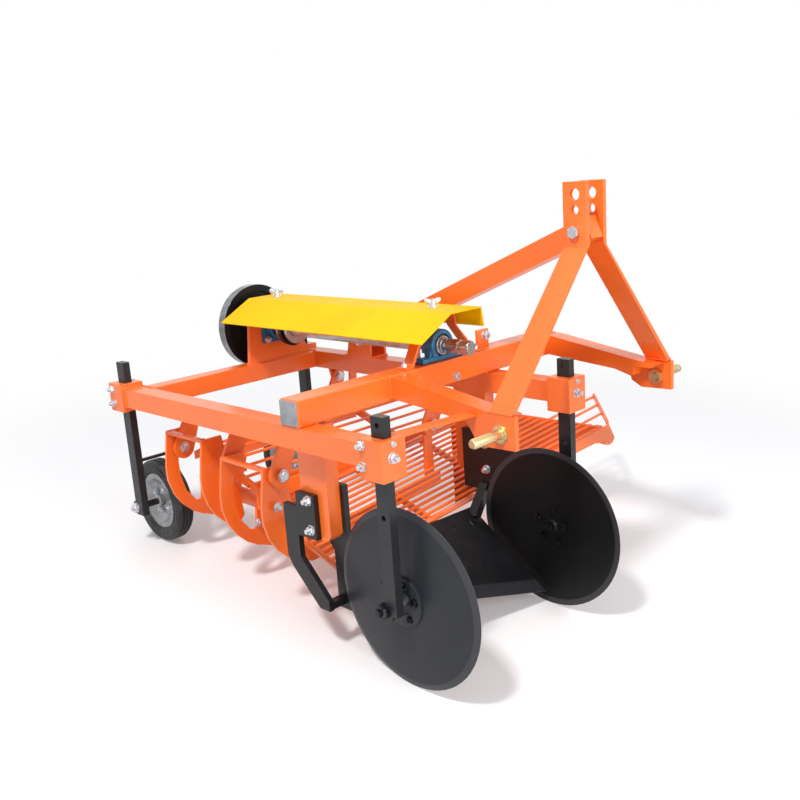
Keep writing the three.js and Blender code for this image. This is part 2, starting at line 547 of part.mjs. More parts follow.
// raised rear grid behind a stepped plate
const deckAt = (y) => deckZ + deckRise * (y - deckY);
const deckFarX = 260;
const stepPlate = Manifold.hull([[bedNear, bedZ(bedNear, bedRear) - 8], [deckFarX, bedZ(deckFarX, bedRear) - 8],
  [deckFarX, deckAt(bedRear) - 4], [bedNear, deckAt(bedRear) - 4]].flatMap(([x, z]) =>
  [[x, bedRear + seam, z], [x, bedRear + 6, z]]));
const deck = [stepPlate];
for (let i = 0; i < deckRods; i++) {
  const y = deckY + 14 + deckPitch * i;
  deck.push(rod([bedNear, y, deckAt(y)], [deckFarX, y, deckAt(y)], rodDia));
}
const deckTail = [ribRearY - ribThick / 2 - seam, deckZ + 36];
for (const x of [bedNear + 4, -210, farHangerX]) {
  deck.push(plateX([[bedRear + 5, deckAt(bedRear + 6) - 24], [bedRear + 5, deckAt(bedRear + 6)],
    [880, deckAt(880)], [deckTail[0], deckTail[1]], [deckTail[0], deckTail[1] - 22], [876, deckAt(876) - 24]],
    x - 4, x + 4));
}
add("rear_grid", unite(...deck).subtract(box(-600, 300, ribMiddleY - ribThick / 2 - seam, ribMiddleY + ribThick / 2 + seam,
  200, deckAt(ribMiddleY) - 12)), "orange");

// hangers, their brackets on the side beams, and the pins on the ribs that they carry
const footX = (topX) => topX - hangerLength * Math.sin(rad(hangerLean));
const footZ = hangerTopZ - hangerLength * Math.cos(rad(hangerLean));
// side = -1 for a hanger ahead of its rib, +1 for one behind it
const pinReach = ribThick / 2 + hangerSpace + hangerThick + 5;
const hangerPin = (x, y, z, side) =>
  cylY(hangerPinDia / 2, Math.min(y, y + side * pinReach), Math.max(y, y + side * pinReach), x, z, 24);
const hanger = (topX, y, side = -1) => {
  const face = y + side * (ribThick / 2 + hangerSpace);
  const front = Math.min(face, face + side * hangerThick);
  const ends = [[topX, hangerTopZ, hangerWidth / 2], [footX(topX), footZ, hangerFootWidth / 2]];
  const discs = ends.map(([x, z, r]) => cylY(r, front, front + hangerThick, x, z, 24));
  return Manifold.hull(discs)
    .subtract(cylY(hangerPinDia / 2 + hangerTopFit, 0, 1200, topX, hangerTopZ, 24))
    .subtract(cylY(hangerPinDia / 2 + hangerFootFit, 0, 1200, footX(topX), footZ, 24));
};
const ribPin = (topX, y, side = -1) => hangerPin(footX(topX), y, footZ, side);
const nearBracket = (y, side = -1) => unite(hangerPin(nearHangerX, y, hangerTopZ, side), plateY([[nearInner - 1, beamBottom - 20],
  [nearInner - 1, beamTop - 8], [nearInner + 20, beamTop - 8], [nearHangerX + 16, hangerTopZ + 4],
  [nearHangerX + 10, hangerTopZ - 13], [nearHangerX - 10, hangerTopZ - 13]], y - ribThick / 2, y + ribThick / 2));
const farBracket = (y) => unite(hangerPin(farHangerX, y, hangerTopZ, -1), plateY([[farHangerX - 22, beamBottom + 1],
  [farHangerX + 22, beamBottom + 1], [farHangerX + 12, hangerTopZ - 13], [farHangerX - 12, hangerTopZ - 13]],
  y - ribThick / 2, y + ribThick / 2));
for (const [tag, y, side] of [["front", ribFrontY, -1], ["middle", ribMiddleY, 1], ["rear", ribRearY, -1]]) {
  add(`hanger_near_${tag}`, hanger(nearHangerX, y, side), "orange");
}
for (const [tag, y] of [["front", ribFrontY], ["rear", ribRearY]]) {
  add(`hanger_far_${tag}`, hanger(farHangerX, y), "orange");
}
// each side beam carries its post and its brackets, all welded on
add("side_beam_near", unite(sideBeam(nearBeamX), nearPost, nearBracket(ribFrontY), nearBracket(ribMiddleY, 1),
  nearBracket(ribRearY)), "orange");
add("side_beam_far", unite(sideBeam(farBeamX), farPost, farBracket(ribFrontY), farBracket(ribRearY)), "orange");

// transverse ribs: a hooked D at the near side, a bar under the bed, and an ear for the far hanger
const rib = (y, lift, top, { ear = false, solid = false, side = -1 }) => {
  const nearTop = top(bedNear);
  const hook = [[-72, 20], [-14, 20], [-4, 8]].map(([x, z]) => [bedNear + x, footZ + z + lift]);
  hook.push([bedNear, nearTop > bedZ0 + 118 ? footZ + 0.5 : bedZ0 + 98], [bedNear, nearTop]);
  const arc = [[48, -62], [5, -46], [-22, -30], [-52, -1], [-73, 33], [-86, 75], [-86, 113],
    [-80, 155]].map(([x, z]) => [bedNear + x, bedZ0 + z + lift]);
  const earX = footX(farHangerX);
  const far = earX + 40;
  const right = ear
    ? [[earX - 17, top(earX - 17)], [earX - 14, footZ + 8], [earX - 6, footZ + 14], [earX + 6, footZ + 14],
      [earX + 14, footZ + 8], [earX + 17, top(earX + 17)]]
    : [];
  const under = [[far, top(far)], [far, top(far) - 34], [bedNear + 170, top(bedNear + 170) - 42],
    [bedNear + 120, bedZ0 - 60 + lift]];
  const body = plateY([...hook, ...right, ...under, ...arc], y - ribThick / 2, y + ribThick / 2);
  const gap = solid
    ? [[-37, 143], [10, 143], [10, 157], [-37, 157]]
    : [[-40, 158], [16, 152], [22, 98], [14, 48], [8, -2], [-8, -2], [-36, 34], [-48, 78], [-49, 118], [-46, 142]];
  const hole = plateY(gap.map(([x, z]) => [bedNear + x, bedZ0 + z + lift]), y - 20, y + 20);
  return unite(body, ribPin(nearHangerX, y, side), ...(ear ? [ribPin(farHangerX, y)] : [])).subtract(hole);
};
const bedUnder = (y) => (x) => bedZ(x, y) - flatTall - ribThick * bedRiseY - 2.5 - seam;
const flatUnder = bedUnder(ribFrontY);
const railX = bedNear - 72;
const rail = (y0, y1, lift) =>
  box(railX, railX + railWidth, y0, y1, footZ + 12 + lift, footZ + 20 + lift);
add("sieve_rib_front", rib(ribFrontY, 0, flatUnder, { ear: true, solid: true }), "orange");
add("sieve_rib_middle", unite(rib(ribMiddleY, 0, () => deckAt(ribMiddleY) - 12 - seam, { side: 1 }),
  rail(ribFrontY + ribThick / 2 + seam, ribMiddleY, 0),
  cylY(tubeDia / 2, ribFrontY + ribThick / 2 + seam, ribMiddleY, tubeX, tubeZ - 40, 32),
  cylY(tubeDia / 2, ribMiddleY, ribRearY - ribThick / 2 - seam, tubeX, tubeZ, 32)), "orange");
// the rear rib also carries the arm that the connecting rod drives, drawn beside the rod's end
const driveArm = plateY([[farBeamX - 10, 326], [farBeamX + 68, 326], [rodEnd + 15, shaftZ - 8], [rodEnd + 12, shaftZ + 12],
  [rodEnd - 12, shaftZ + 12], [rodEnd - 15, shaftZ - 8], [farBeamX + 46, deckTail[1] - 6], [farBeamX - 10, deckTail[1] - 6]],
  ribRearY - ribThick / 2, ribRearY + ribThick / 2);
const extraY = ribRearY - ribExtraLead;
const extraRib = plateY([[-72, 20 + footZ - bedZ0], [-14, 20 + footZ - bedZ0], [-6, 150], [-6, 100], [24, 40],
  [30, -20], [5, -46], [-22, -30], [-52, -1], [-73, 33], [-86, 75], [-86, 113], [-80, 155]]
  .map(([x, z]) => [bedNear + x, bedZ0 + z + ribRearLift]), extraY - ribThick / 2, extraY + ribThick / 2);
add("sieve_rib_rear", unite(rib(ribRearY, ribRearLift, () => deckTail[1] - 6, { ear: true }), driveArm, extraRib,
  rail(extraY, ribRearY, ribRearLift)), "orange");
// the origin goes to the middle of the machine's footprint, on the floor
const bounds = new THREE.Box3().setFromObject(group);
for (const piece of group.children) {
  piece.geometry.translate(-(bounds.min.x + bounds.max.x) / 2, -(bounds.min.y + bounds.max.y) / 2, -bounds.min.z);
}
group.updateMatrixWorld(true);
export default group;
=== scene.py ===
"""Looks of the potato harvester, laid out as an add-on and run as a script."""

import json
import math

import bmesh
import bpy
from mathutils import Matrix, Vector
from mathutils.bvhtree import BVHTree

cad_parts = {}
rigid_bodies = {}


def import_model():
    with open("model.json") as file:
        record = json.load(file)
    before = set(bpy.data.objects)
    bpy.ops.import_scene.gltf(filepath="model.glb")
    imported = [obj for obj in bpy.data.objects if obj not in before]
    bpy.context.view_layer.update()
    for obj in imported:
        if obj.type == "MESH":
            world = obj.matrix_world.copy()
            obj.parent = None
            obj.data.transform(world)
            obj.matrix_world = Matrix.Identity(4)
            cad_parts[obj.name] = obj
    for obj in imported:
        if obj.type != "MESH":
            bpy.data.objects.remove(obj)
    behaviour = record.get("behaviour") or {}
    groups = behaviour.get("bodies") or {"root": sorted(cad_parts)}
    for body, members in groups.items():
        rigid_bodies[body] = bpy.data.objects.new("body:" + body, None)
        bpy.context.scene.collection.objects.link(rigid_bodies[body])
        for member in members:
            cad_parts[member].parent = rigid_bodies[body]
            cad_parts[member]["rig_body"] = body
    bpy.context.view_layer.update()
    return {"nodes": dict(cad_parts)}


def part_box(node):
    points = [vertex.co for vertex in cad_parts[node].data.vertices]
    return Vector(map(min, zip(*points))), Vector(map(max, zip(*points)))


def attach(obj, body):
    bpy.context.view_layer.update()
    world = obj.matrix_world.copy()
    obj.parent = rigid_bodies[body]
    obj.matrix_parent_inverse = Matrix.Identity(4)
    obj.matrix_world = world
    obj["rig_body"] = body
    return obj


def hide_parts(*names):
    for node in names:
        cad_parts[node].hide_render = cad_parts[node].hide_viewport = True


bl_info = {
    "name": "Potato harvester",
    "version": (1, 0, 0),
    "blender": (4, 5, 0),
    "location": "3D View > Sidebar > Harvester",
    "description": "Builds the painted, bolted and welded pieces of a potato harvester",
    "category": "Object",
}

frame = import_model()

# The machine is measured level, in millimetres from the lower hitch pins' centre line, and
# stands tilted on its wheels. LEVEL takes a level millimetre place to the frame's metres.
PARK_TILT = math.radians(-5.4)
DISC_Y, DISC_Z, DISC_R = 115.0, 190.0, 200.0
NEAR_BEAM_EDGE = 0.585  # metres from the machine's middle to the front beam's near end
SHAFT_X, SHAFT_Z = -120, 645
BEARING_Y = 350
HANGER_PIN_Z = 472
HANGER_LEAN, HANGER_LENGTH = math.radians(25), 92.0
# top pin of each hanger: x, its rib's middle, and the side the hanger is on
HANGER_PINS = ((-465, 522, -1), (-465, 700, 1), (-465, 945, -1), (50, 522, -1), (50, 945, -1))
SHARE_X = -255


def level_matrix():
    turn = Matrix.Rotation(PARK_TILT, 4, "X") @ Matrix.Scale(0.001, 4)
    low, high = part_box("coulter_disc_near")
    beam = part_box("front_beam")[0]
    centre = turn @ Vector((0, DISC_Y, DISC_Z))
    shift = Vector((beam.x + NEAR_BEAM_EDGE, (low.y + high.y) / 2 - centre.y, (low.z + high.z) / 2 - centre.z))
    return Matrix.Translation(shift) @ turn


LEVEL = level_matrix()
UNLEVEL = LEVEL.inverted()
X, Y, Z = Vector((1, 0, 0)), Vector((0, 1, 0)), Vector((0, 0, 1))


# ---- sizes and colours ---------------------------------------------------------------


class HarvesterSizes(bpy.types.PropertyGroup):
    tube_round: bpy.props.FloatProperty(
        name="Tube corner", description="Rounding of the square tubes' long corners, in millimetres",
        default=5.0, min=0.5, max=9.0)
    plate_round: bpy.props.FloatProperty(
        name="Plate edge", description="Rounding of cut plate edges, in millimetres",
        default=0.9, min=0.2, max=3.0)
    weld: bpy.props.FloatProperty(
        name="Weld size", description="Height of the weld beads, in millimetres",
        default=3.2, min=1.0, max=6.0)
    bolt: bpy.props.FloatProperty(
        name="Bolt thread", description="Thread diameter of the common bolts, in millimetres",
        default=10.0, min=6.0, max=16.0)


class HarvesterColours(bpy.types.PropertyGroup):
    body: bpy.props.FloatVectorProperty(
        name="Body paint", description="Paint of the frame and sieve",
        subtype="COLOR", size=3, min=0, max=1, default=(0.93, 0.165, 0.017))
    guard: bpy.props.FloatVectorProperty(
        name="Guard paint", description="Paint of the drive guard",
        subtype="COLOR", size=3, min=0, max=1, default=(0.90, 0.53, 0.0))
    ground_tools: bpy.props.FloatVectorProperty(
        name="Tool paint", description="Paint of discs, share and stems",
        subtype="COLOR", size=3, min=0, max=1, default=(0.0075, 0.0075, 0.009))
    bearing: bpy.props.FloatVectorProperty(
        name="Bearing paint", description="Paint of the bearing housings",
        subtype="COLOR", size=3, min=0, max=1, default=(0.014, 0.14, 0.29))


# ---- materials -----------------------------------------------------------------------


def feed(tree, socket, value):
    """Links a Wire to a socket, or sets the socket's own value; colours come without their alpha."""
    if isinstance(value, Wire):
        tree.links.new(value.out, socket)
    elif hasattr(socket.default_value, "__len__") and len(socket.default_value) == 4:
        socket.default_value = (*value, 1)
    else:
        socket.default_value = value


class Wire:
    """A node output that adds Math nodes when it is used in an expression."""

    def __init__(self, tree, out):
        self.tree, self.out = tree, out

    def math(self, operation, *values):
        node = self.tree.nodes.new("ShaderNodeMath")
        node.operation = operation
        for socket, value in zip(node.inputs, values):
            feed(self.tree, socket, value)
        return Wire(self.tree, node.outputs[0])

    def __add__(self, o):
        return self.math("ADD", self, o)

    def __mul__(self, o):
        return self.math("MULTIPLY", self, o)

    __radd__, __rmul__ = __add__, __mul__

    def __rsub__(self, o):
        return self.math("SUBTRACT", o, self)

    def over(self, low, high):
        """0 below low, 1 above high, smooth between."""
        node = self.tree.nodes.new("ShaderNodeMapRange")
        node.interpolation_type = "SMOOTHSTEP"
        self.tree.links.new(self.out, node.inputs["Value"])
        node.inputs["From Min"].default_value, node.inputs["From Max"].default_value = low, high
        return Wire(self.tree, node.outputs["Result"])


class Finish:
    """A material being made: one method adds nodes, others name what this machine's paints need."""

    def __init__(self, name):
        self.material = bpy.data.materials.new(name)
        self.material.use_nodes = True
        self.tree = self.material.node_tree
        self.shader = self.tree.nodes["Principled BSDF"]

    def node(self, kind, out=0, settings=(), **values):
        node = self.tree.nodes.new("ShaderNode" + kind)
        for key, value in dict(settings).items():
            if key == "stops":
                ramp = node.color_ramp
                while len(ramp.elements) < len(value):
                    ramp.elements.new(0.5)
                for element, (place, colour) in zip(ramp.elements, value):
                    element.position, element.color = place, (*colour, 1)
            else:
                setattr(node, key, value)
        for key, value in values.items():
            key = key.replace("_", " ")
            socket = next((s for s in node.inputs if s.name.lower() == key.lower() and s.enabled), None)
            feed(self.tree, socket or node.inputs[key], value)
        return Wire(self.tree, node.outputs[out])

    def place(self, scale=(1, 1, 1), offset=(0, 0, 0)):
        coords = self.node("TexCoord", out="Object")
        return self.node("Mapping", Vector=coords, Scale=scale, Location=offset)

    def noise(self, size, detail=3.0, rough=0.5, where=None):
        """Noise from 0 to 1 whose features are about size metres across."""
        return self.node("TexNoise", Vector=where or self.place(), Scale=1 / size, Detail=detail, Roughness=rough)

    def blend(self, factor, a, b):
        node = self.tree.nodes.new("ShaderNodeMix")
        node.data_type = "RGBA"
        for socket, value in ((node.inputs[0], factor), (node.inputs[6], a), (node.inputs[7], b)):
            feed(self.tree, socket, value)
        return Wire(self.tree, node.outputs[2])

    def height(self):
        """How high above the floor, in metres."""
        split = self.tree.nodes.new("ShaderNodeSeparateXYZ")
        self.tree.links.new(self.node("TexCoord", out="Object").out, split.inputs[0])
        return Wire(self.tree, split.outputs[2])

    def bump(self, height, depth):
        normal = self.node("Bump", Height=height, Distance=depth, Strength=1.0)
        self.tree.links.new(normal.out, self.shader.inputs["Normal"])

    def set(self, **values):
        for key, value in values.items():
            feed(self.tree, self.shader.inputs[key.replace("_", " ")], value)


def scaled(colour, factor):
    return tuple(min(1.0, c * factor) for c in colour)


def sprayed_paint(name, colour, gloss=0.3, coat=0.35, flow=0.00035, shine=0.5):
    """Gloss paint over rolled steel: slow tone drift, orange-peel, a little dust low down."""
    paint = Finish(name)
    drift = paint.noise(0.22, 2.0)
    cloud = paint.noise(0.035, 4.0)
    tone = paint.blend(drift.over(0.35, 0.65), scaled(colour, 0.94), scaled(colour, 1.04))
    tone = paint.blend(cloud.over(0.55, 0.75) * 0.10, tone, scaled(colour, 0.80))
    dust = (1 - paint.height().over(0.02, 0.30)) * paint.noise(0.06, 5.0, 0.6).over(0.42, 0.72) * 0.10
    tone = paint.blend(dust, tone, (0.42, 0.33, 0.25))
    paint.set(Base_Color=tone, Roughness=gloss + cloud * 0.10 + dust * 0.6, Coat_Weight=coat, Coat_Roughness=0.08,
              Specular_IOR_Level=shine)
    peel = paint.noise(0.0016, 2.0)
    runs = paint.noise(0.012, 2.0)
    paint.bump(peel * 0.35 + runs, flow)
    return paint.material


def tool_paint(name, colour):
    """Satin black paint on forged and cut steel, rubbed a little towards grey."""
    paint = Finish(name)
    cloud = paint.noise(0.05, 4.0)
    fine = paint.noise(0.004, 4.0, 0.6)
    rub = cloud.over(0.45, 0.75) * fine.over(0.45, 0.7)
    tone = paint.blend(rub * 0.35, colour, (0.045, 0.046, 0.05))
    paint.set(Base_Color=tone, Roughness=0.27 + cloud * 0.16 + rub * 0.1, Coat_Weight=0.06, Coat_Roughness=0.18,
              Specular_IOR_Level=0.36)
    paint.bump(paint.noise(0.0022, 2.0) * 0.3 + paint.noise(0.018, 2.0), 0.0004)
    return paint.material


def disc_paint(name, colour):
    """The coulter discs' paint: rolled sheet with faint rings about the disc's axle."""
    paint = Finish(name)
    low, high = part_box("coulter_disc_near")
    where = paint.place(offset=(0, -(low.y + high.y) / 2, -(low.z + high.z) / 2))
    rings = paint.node("TexWave", settings={"wave_type": "RINGS", "rings_direction": "X"}, out=1,
                       Vector=where, Scale=22.0, Distortion=2.5, Detail=2.0, Detail_Scale=1.0)
    cloud = paint.noise(0.09, 3.0)
    tone = paint.blend(cloud.over(0.4, 0.7) * 0.4, colour, scaled(colour, 1.6))
    paint.set(Base_Color=tone, Roughness=0.3 + cloud * 0.14 + rings * 0.03, Specular_IOR_Level=0.28)
    paint.bump(rings * 0.12 + paint.noise(0.03, 2.0), 0.00025)
    return paint.material


def plated(name, colour, tint, rough=0.24):
    """Zinc plate, clear or yellow: spangled tone and soft roughness patches."""
    metal = Finish(name)
    patch = metal.noise(0.006, 3.0)
    tone = metal.blend(patch.over(0.35, 0.7), colour, tint)
    metal.set(Base_Color=tone, Metallic=1.0, Roughness=rough + metal.noise(0.0025, 3.0) * 0.16)
    metal.bump(metal.noise(0.0012, 2.0), 0.00012)
    return metal.material


def turned_steel(name):
    metal = Finish(name)
    where = metal.place(scale=(1, 0.08, 1))
    lines = metal.noise(0.0012, 4.0, where=where)
    tone = metal.blend(metal.noise(0.03, 3.0).over(0.35, 0.7), (0.60, 0.58, 0.56), (0.44, 0.41, 0.39))
    metal.set(Base_Color=tone, Metallic=1.0, Roughness=0.2 + lines * 0.2)
    metal.bump(lines, 0.0001)
    return metal.material


def cast_paint(name, colour):
    """Blue paint over sand-cast iron."""
    paint = Finish(name)
    grain = paint.noise(0.0022, 5.0, 0.65)
    tone = paint.blend(paint.noise(0.02, 3.0).over(0.4, 0.7), scaled(colour, 0.75), scaled(colour, 1.15))
    paint.set(Base_Color=tone, Roughness=0.38 + grain * 0.2, Coat_Weight=0.2, Coat_Roughness=0.2)
    paint.bump(grain, 0.0006)
    return paint.material


def wheel_rubber(name):
    rubber = Finish(name)
    cloud = rubber.noise(0.03, 4.0)
    tone = rubber.blend(cloud.over(0.4, 0.75), (0.012, 0.012, 0.013), (0.034, 0.034, 0.036))
    dust = (1 - rubber.height().over(0.0, 0.09)) * rubber.noise(0.012, 4.0).over(0.4, 0.7) * 0.35
    tone = rubber.blend(dust, tone, (0.16, 0.15, 0.14))
    rubber.set(Base_Color=tone, Roughness=0.42 + cloud * 0.2 + dust * 0.4)
    rubber.bump(rubber.noise(0.0014, 3.0) * 0.6 + rubber.noise(0.007, 2.0), 0.0003)
    return rubber.material


def pressed_rim(name):
    """The wheels' pressed centre: pale metallic grey lacquer."""
    paint = Finish(name)
    cloud = paint.noise(0.025, 4.0)
    tone = paint.blend(cloud.over(0.35, 0.7), (0.36, 0.36, 0.375), (0.26, 0.26, 0.27))
    paint.set(Base_Color=tone, Metallic=0.75, Roughness=0.28 + cloud * 0.15, Coat_Weight=0.3, Coat_Roughness=0.1)
    paint.bump(paint.noise(0.004, 3.0), 0.0002)
    return paint.material


def ground_edge(name):
    """Bare ground steel on the discs' bevel and the flywheel's turned rim."""
    metal = Finish(name)
    lines = metal.noise(0.0015, 4.0, where=metal.place(scale=(6, 1, 1)))
    tone = metal.blend(metal.noise(0.03, 4.0).over(0.35, 0.65), (0.34, 0.35, 0.37), (0.20, 0.205, 0.22))
    metal.set(Base_Color=tone, Metallic=0.9, Roughness=0.26 + lines * 0.22)
    metal.bump(lines, 0.0001)
    return metal.material


def worn_steel(name):
    """Paint scoured to dull grey steel along a cutting edge."""
    metal = Finish(name)
    patch = metal.noise(0.02, 5.0, 0.6).over(0.42, 0.62)
    tone = metal.blend(patch, (0.016, 0.017, 0.02), (0.04, 0.041, 0.046))
    metal.set(Base_Color=tone, Metallic=patch * 0.4, Roughness=0.46 - patch * 0.1)
    metal.bump(metal.noise(0.003, 4.0) * 0.6 + patch * 0.4, 0.0003)
    return metal.material


def grey_plastic(name):
    """Moulded grey plastic of the tube caps."""
    plastic = Finish(name)
    tone = plastic.blend(plastic.noise(0.02, 3.0).over(0.35, 0.7), (0.30, 0.31, 0.33), (0.24, 0.25, 0.27))
    plastic.set(Base_Color=tone, Roughness=0.42 + plastic.noise(0.004, 3.0) * 0.15)
    plastic.bump(plastic.noise(0.0012, 2.0), 0.0002)
    return plastic.material


MATERIALS = {}


def make_materials(colours):
    orange, black = tuple(colours.body), tuple(colours.ground_tools)
    MATERIALS.update(
        orange=sprayed_paint("body_paint", orange),
        yellow=sprayed_paint("guard_paint", tuple(colours.guard), gloss=0.46, coat=0.0, shine=0.08),
        black=tool_paint("tool_paint", black),
        stem=tool_paint("stem_paint", (0.015, 0.016, 0.018)),
        disc=disc_paint("disc_paint", scaled(black, 0.6)),
        # the near disc's paint is a paler copy of the disc paint: painted light, standing for the light the near disc
        # catches
        disc_pale=disc_paint("near_disc_lit_copy", (0.020, 0.022, 0.027)),
        worn=worn_steel("worn_edge"),
        bevel=tool_paint("bevel_paint", (0.035, 0.036, 0.042)),
        blacked=plated("blacked_steel", (0.06, 0.06, 0.066), (0.03, 0.03, 0.034), 0.3),
        cap=grey_plastic("cap_plastic"),
        blue=cast_paint("bearing_paint", tuple(colours.bearing)),
        zinc=plated("bright_zinc", (0.74, 0.76, 0.80), (0.60, 0.62, 0.66)),
        gold=plated("yellow_zinc", (0.80, 0.60, 0.27), (0.66, 0.56, 0.36)),
        steel=turned_steel("turned_steel"),
        rubber=wheel_rubber("wheel_rubber"),
        rim=pressed_rim("rim_lacquer"),
        edge=ground_edge("ground_edge"),
    )


# ---- mesh tools ----------------------------------------------------------------------


def settle(name, mesh_edit, body, looks, replaces=(), rounding=None, smooth=35, steps=2):
    """Makes the object of a finished bmesh in frame metres, gives it its looks and seats it."""
    mesh = bpy.data.meshes.new(name)
    mesh_edit.to_mesh(mesh)
    mesh_edit.free()
    piece = bpy.data.objects.new(name, mesh)
    bpy.context.scene.collection.objects.link(piece)
    looks = [looks] if isinstance(looks, str) else looks
    for look in looks:
        mesh.materials.append(MATERIALS[look])
    mesh.shade_smooth()
    mesh.set_sharp_from_angle(angle=math.radians(smooth))
    if rounding:
        bevel = piece.modifiers.new("edges", "BEVEL")
        bevel.width, bevel.segments = rounding * 0.001, steps
        bevel.limit_method, bevel.angle_limit = "ANGLE", math.radians(smooth)
        bevel.harden_normals, bevel.use_clamp_overlap = True, True
    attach(piece, body)
    if replaces:
        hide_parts(*([replaces] if isinstance(replaces, str) else replaces))
    return piece


def raised(bm):
    """From level millimetres to the frame."""
    bmesh.ops.transform(bm, matrix=LEVEL, verts=bm.verts)
    return bm


def copy_of(node):
    """A CAD node's shape with its loose triangles joined and its flat faces merged."""
    bm = bmesh.new()
    bm.from_mesh(frame["nodes"][node].data)
    bmesh.ops.remove_doubles(bm, verts=bm.verts, dist=2e-6)
    bmesh.ops.dissolve_limit(bm, angle_limit=math.radians(0.4), verts=bm.verts, edges=bm.edges)
    return bm


def body_of(node):
    return frame["nodes"][node]["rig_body"]


def dress(node, look, rounding, smooth=35, steps=2):
    """The CAD shape itself, with worked edges and a real finish."""
    return settle("made_" + node, copy_of(node), body_of(node), look, node, rounding, smooth, steps)


def facing(axis, place=(0, 0, 0), roll=0.0):
    """A matrix that stands +Z along axis, at place."""
    turn = Vector(axis).to_track_quat("Z", "Y").to_matrix().to_4x4()
    return Matrix.Translation(Vector(place)) @ turn @ Matrix.Rotation(roll, 4, "Z")


def round_bar(bm, start, end, radius, sides=24, look=0, end_radius=None):
    start, end = Vector(start), Vector(end)
    made = bmesh.ops.create_cone(
        bm, cap_ends=True, segments=sides, radius1=radius, radius2=radius if end_radius is None else end_radius,
        depth=(end - start).length, matrix=facing(end - start, (start + end) / 2))
    paint_faces(made["verts"], look)


def block(bm, low, high, look=0, edge=0.0):
    low, high = Vector(low), Vector(high)
    size = high - low
    made = bmesh.ops.create_cube(bm, size=1, matrix=Matrix.Translation((low + high) / 2) @ Matrix.Diagonal((*size, 1)))
    paint_faces(made["verts"], look)
    if edge:
        edges = {e for v in made["verts"] for e in v.link_edges}
        bmesh.ops.bevel(bm, geom=list(edges), offset=edge, affect="EDGES", segments=2, profile=0.5, material=-1,
                        clamp_overlap=True)
    return made["verts"]


def paint_faces(verts, look):
    if look:
        for face in {f for v in verts for f in v.link_faces}:
            face.material_index = look


def lathe(outline, place, axis, steps=48, look=0):
    """A body of revolution: outline is a closed loop of (radius, along) points."""
    bm = bmesh.new()
    where = facing(axis, place)
    verts = [bm.verts.new((r, 0, a)) for r, a in outline]
    edges = [bm.edges.new((a, b)) for a, b in zip(verts, verts[1:] + verts[:1])]
    bmesh.ops.spin(bm, geom=verts + edges, cent=(0, 0, 0), axis=(0, 0, 1), angle=math.tau, steps=steps,
                   use_merge=True, use_duplicate=False)
    bmesh.ops.remove_doubles(bm, verts=bm.verts, dist=1e-4)
    bmesh.ops.transform(bm, matrix=where, verts=bm.verts)
    bmesh.ops.recalc_face_normals(bm, faces=bm.faces[:])
    for face in bm.faces:
        face.material_index = look
    return bm


def join(bm, other):
    """Adds another bmesh's shape."""
    mesh = bpy.data.meshes.new("joined")
    other.to_mesh(mesh)
    other.free()
    bm.from_mesh(mesh)
    bpy.data.meshes.remove(mesh)


def bolt(bm, place, axis, size=10.0, washer=True, look=0, roll=0.3, tail=0.0):
    """A hexagon head on a washer, seated at place and facing along axis; tail adds a threaded end."""
    axis = Vector(axis).normalized()
    place = Vector(place)
    seat = place
    if washer:
        round_bar(bm, place, place + axis * size * 0.18, size * 1.02, 24, look)
        seat = place + axis * size * 0.18
    head = bmesh.ops.create_cone(
        bm, cap_ends=True, segments=6, radius1=size * 0.92, radius2=size * 0.92, depth=size * 0.62,
        matrix=facing(axis, seat + axis * size * 0.31, roll))
    paint_faces(head["verts"], look)
    top = max({f for v in head["verts"] for f in v.link_faces}, key=lambda f: f.calc_center_median().dot(axis))
    bmesh.ops.bevel(bm, geom=list(top.edges), offset=size * 0.1, affect="EDGES", segments=2, profile=0.5, material=-1)
    if tail:
        start = seat + axis * size * 0.5
        round_bar(bm, start, start + axis * (tail + size * 0.12), size * 0.46, 20, look)
        turns = int(tail / (size * 0.17))
        for i in range(turns):
            at = start + axis * (size * 0.12 + (i + 0.5) * tail / turns)
            round_bar(bm, at - axis * size * 0.05, at + axis * size * 0.05, size * 0.5, 20, look)


def weld(bm, start, end, size):
    """A rippled weld bead from start to end."""
    start, end = Vector(start), Vector(end)
    run = end - start
    count = max(2, int(run.length / (size * 0.95)))
    for i in range(count + 1):
        squash = Matrix.Diagonal((1.0, 1.0, 0.72, 1))
        where = facing(run, start + run * (i / count))
        bmesh.ops.create_icosphere(bm, subdivisions=1, radius=size, matrix=where @ squash)


# ---- operators -----------------------------------------------------------------------


def settings():
    return bpy.context.scene.harvester_sizes


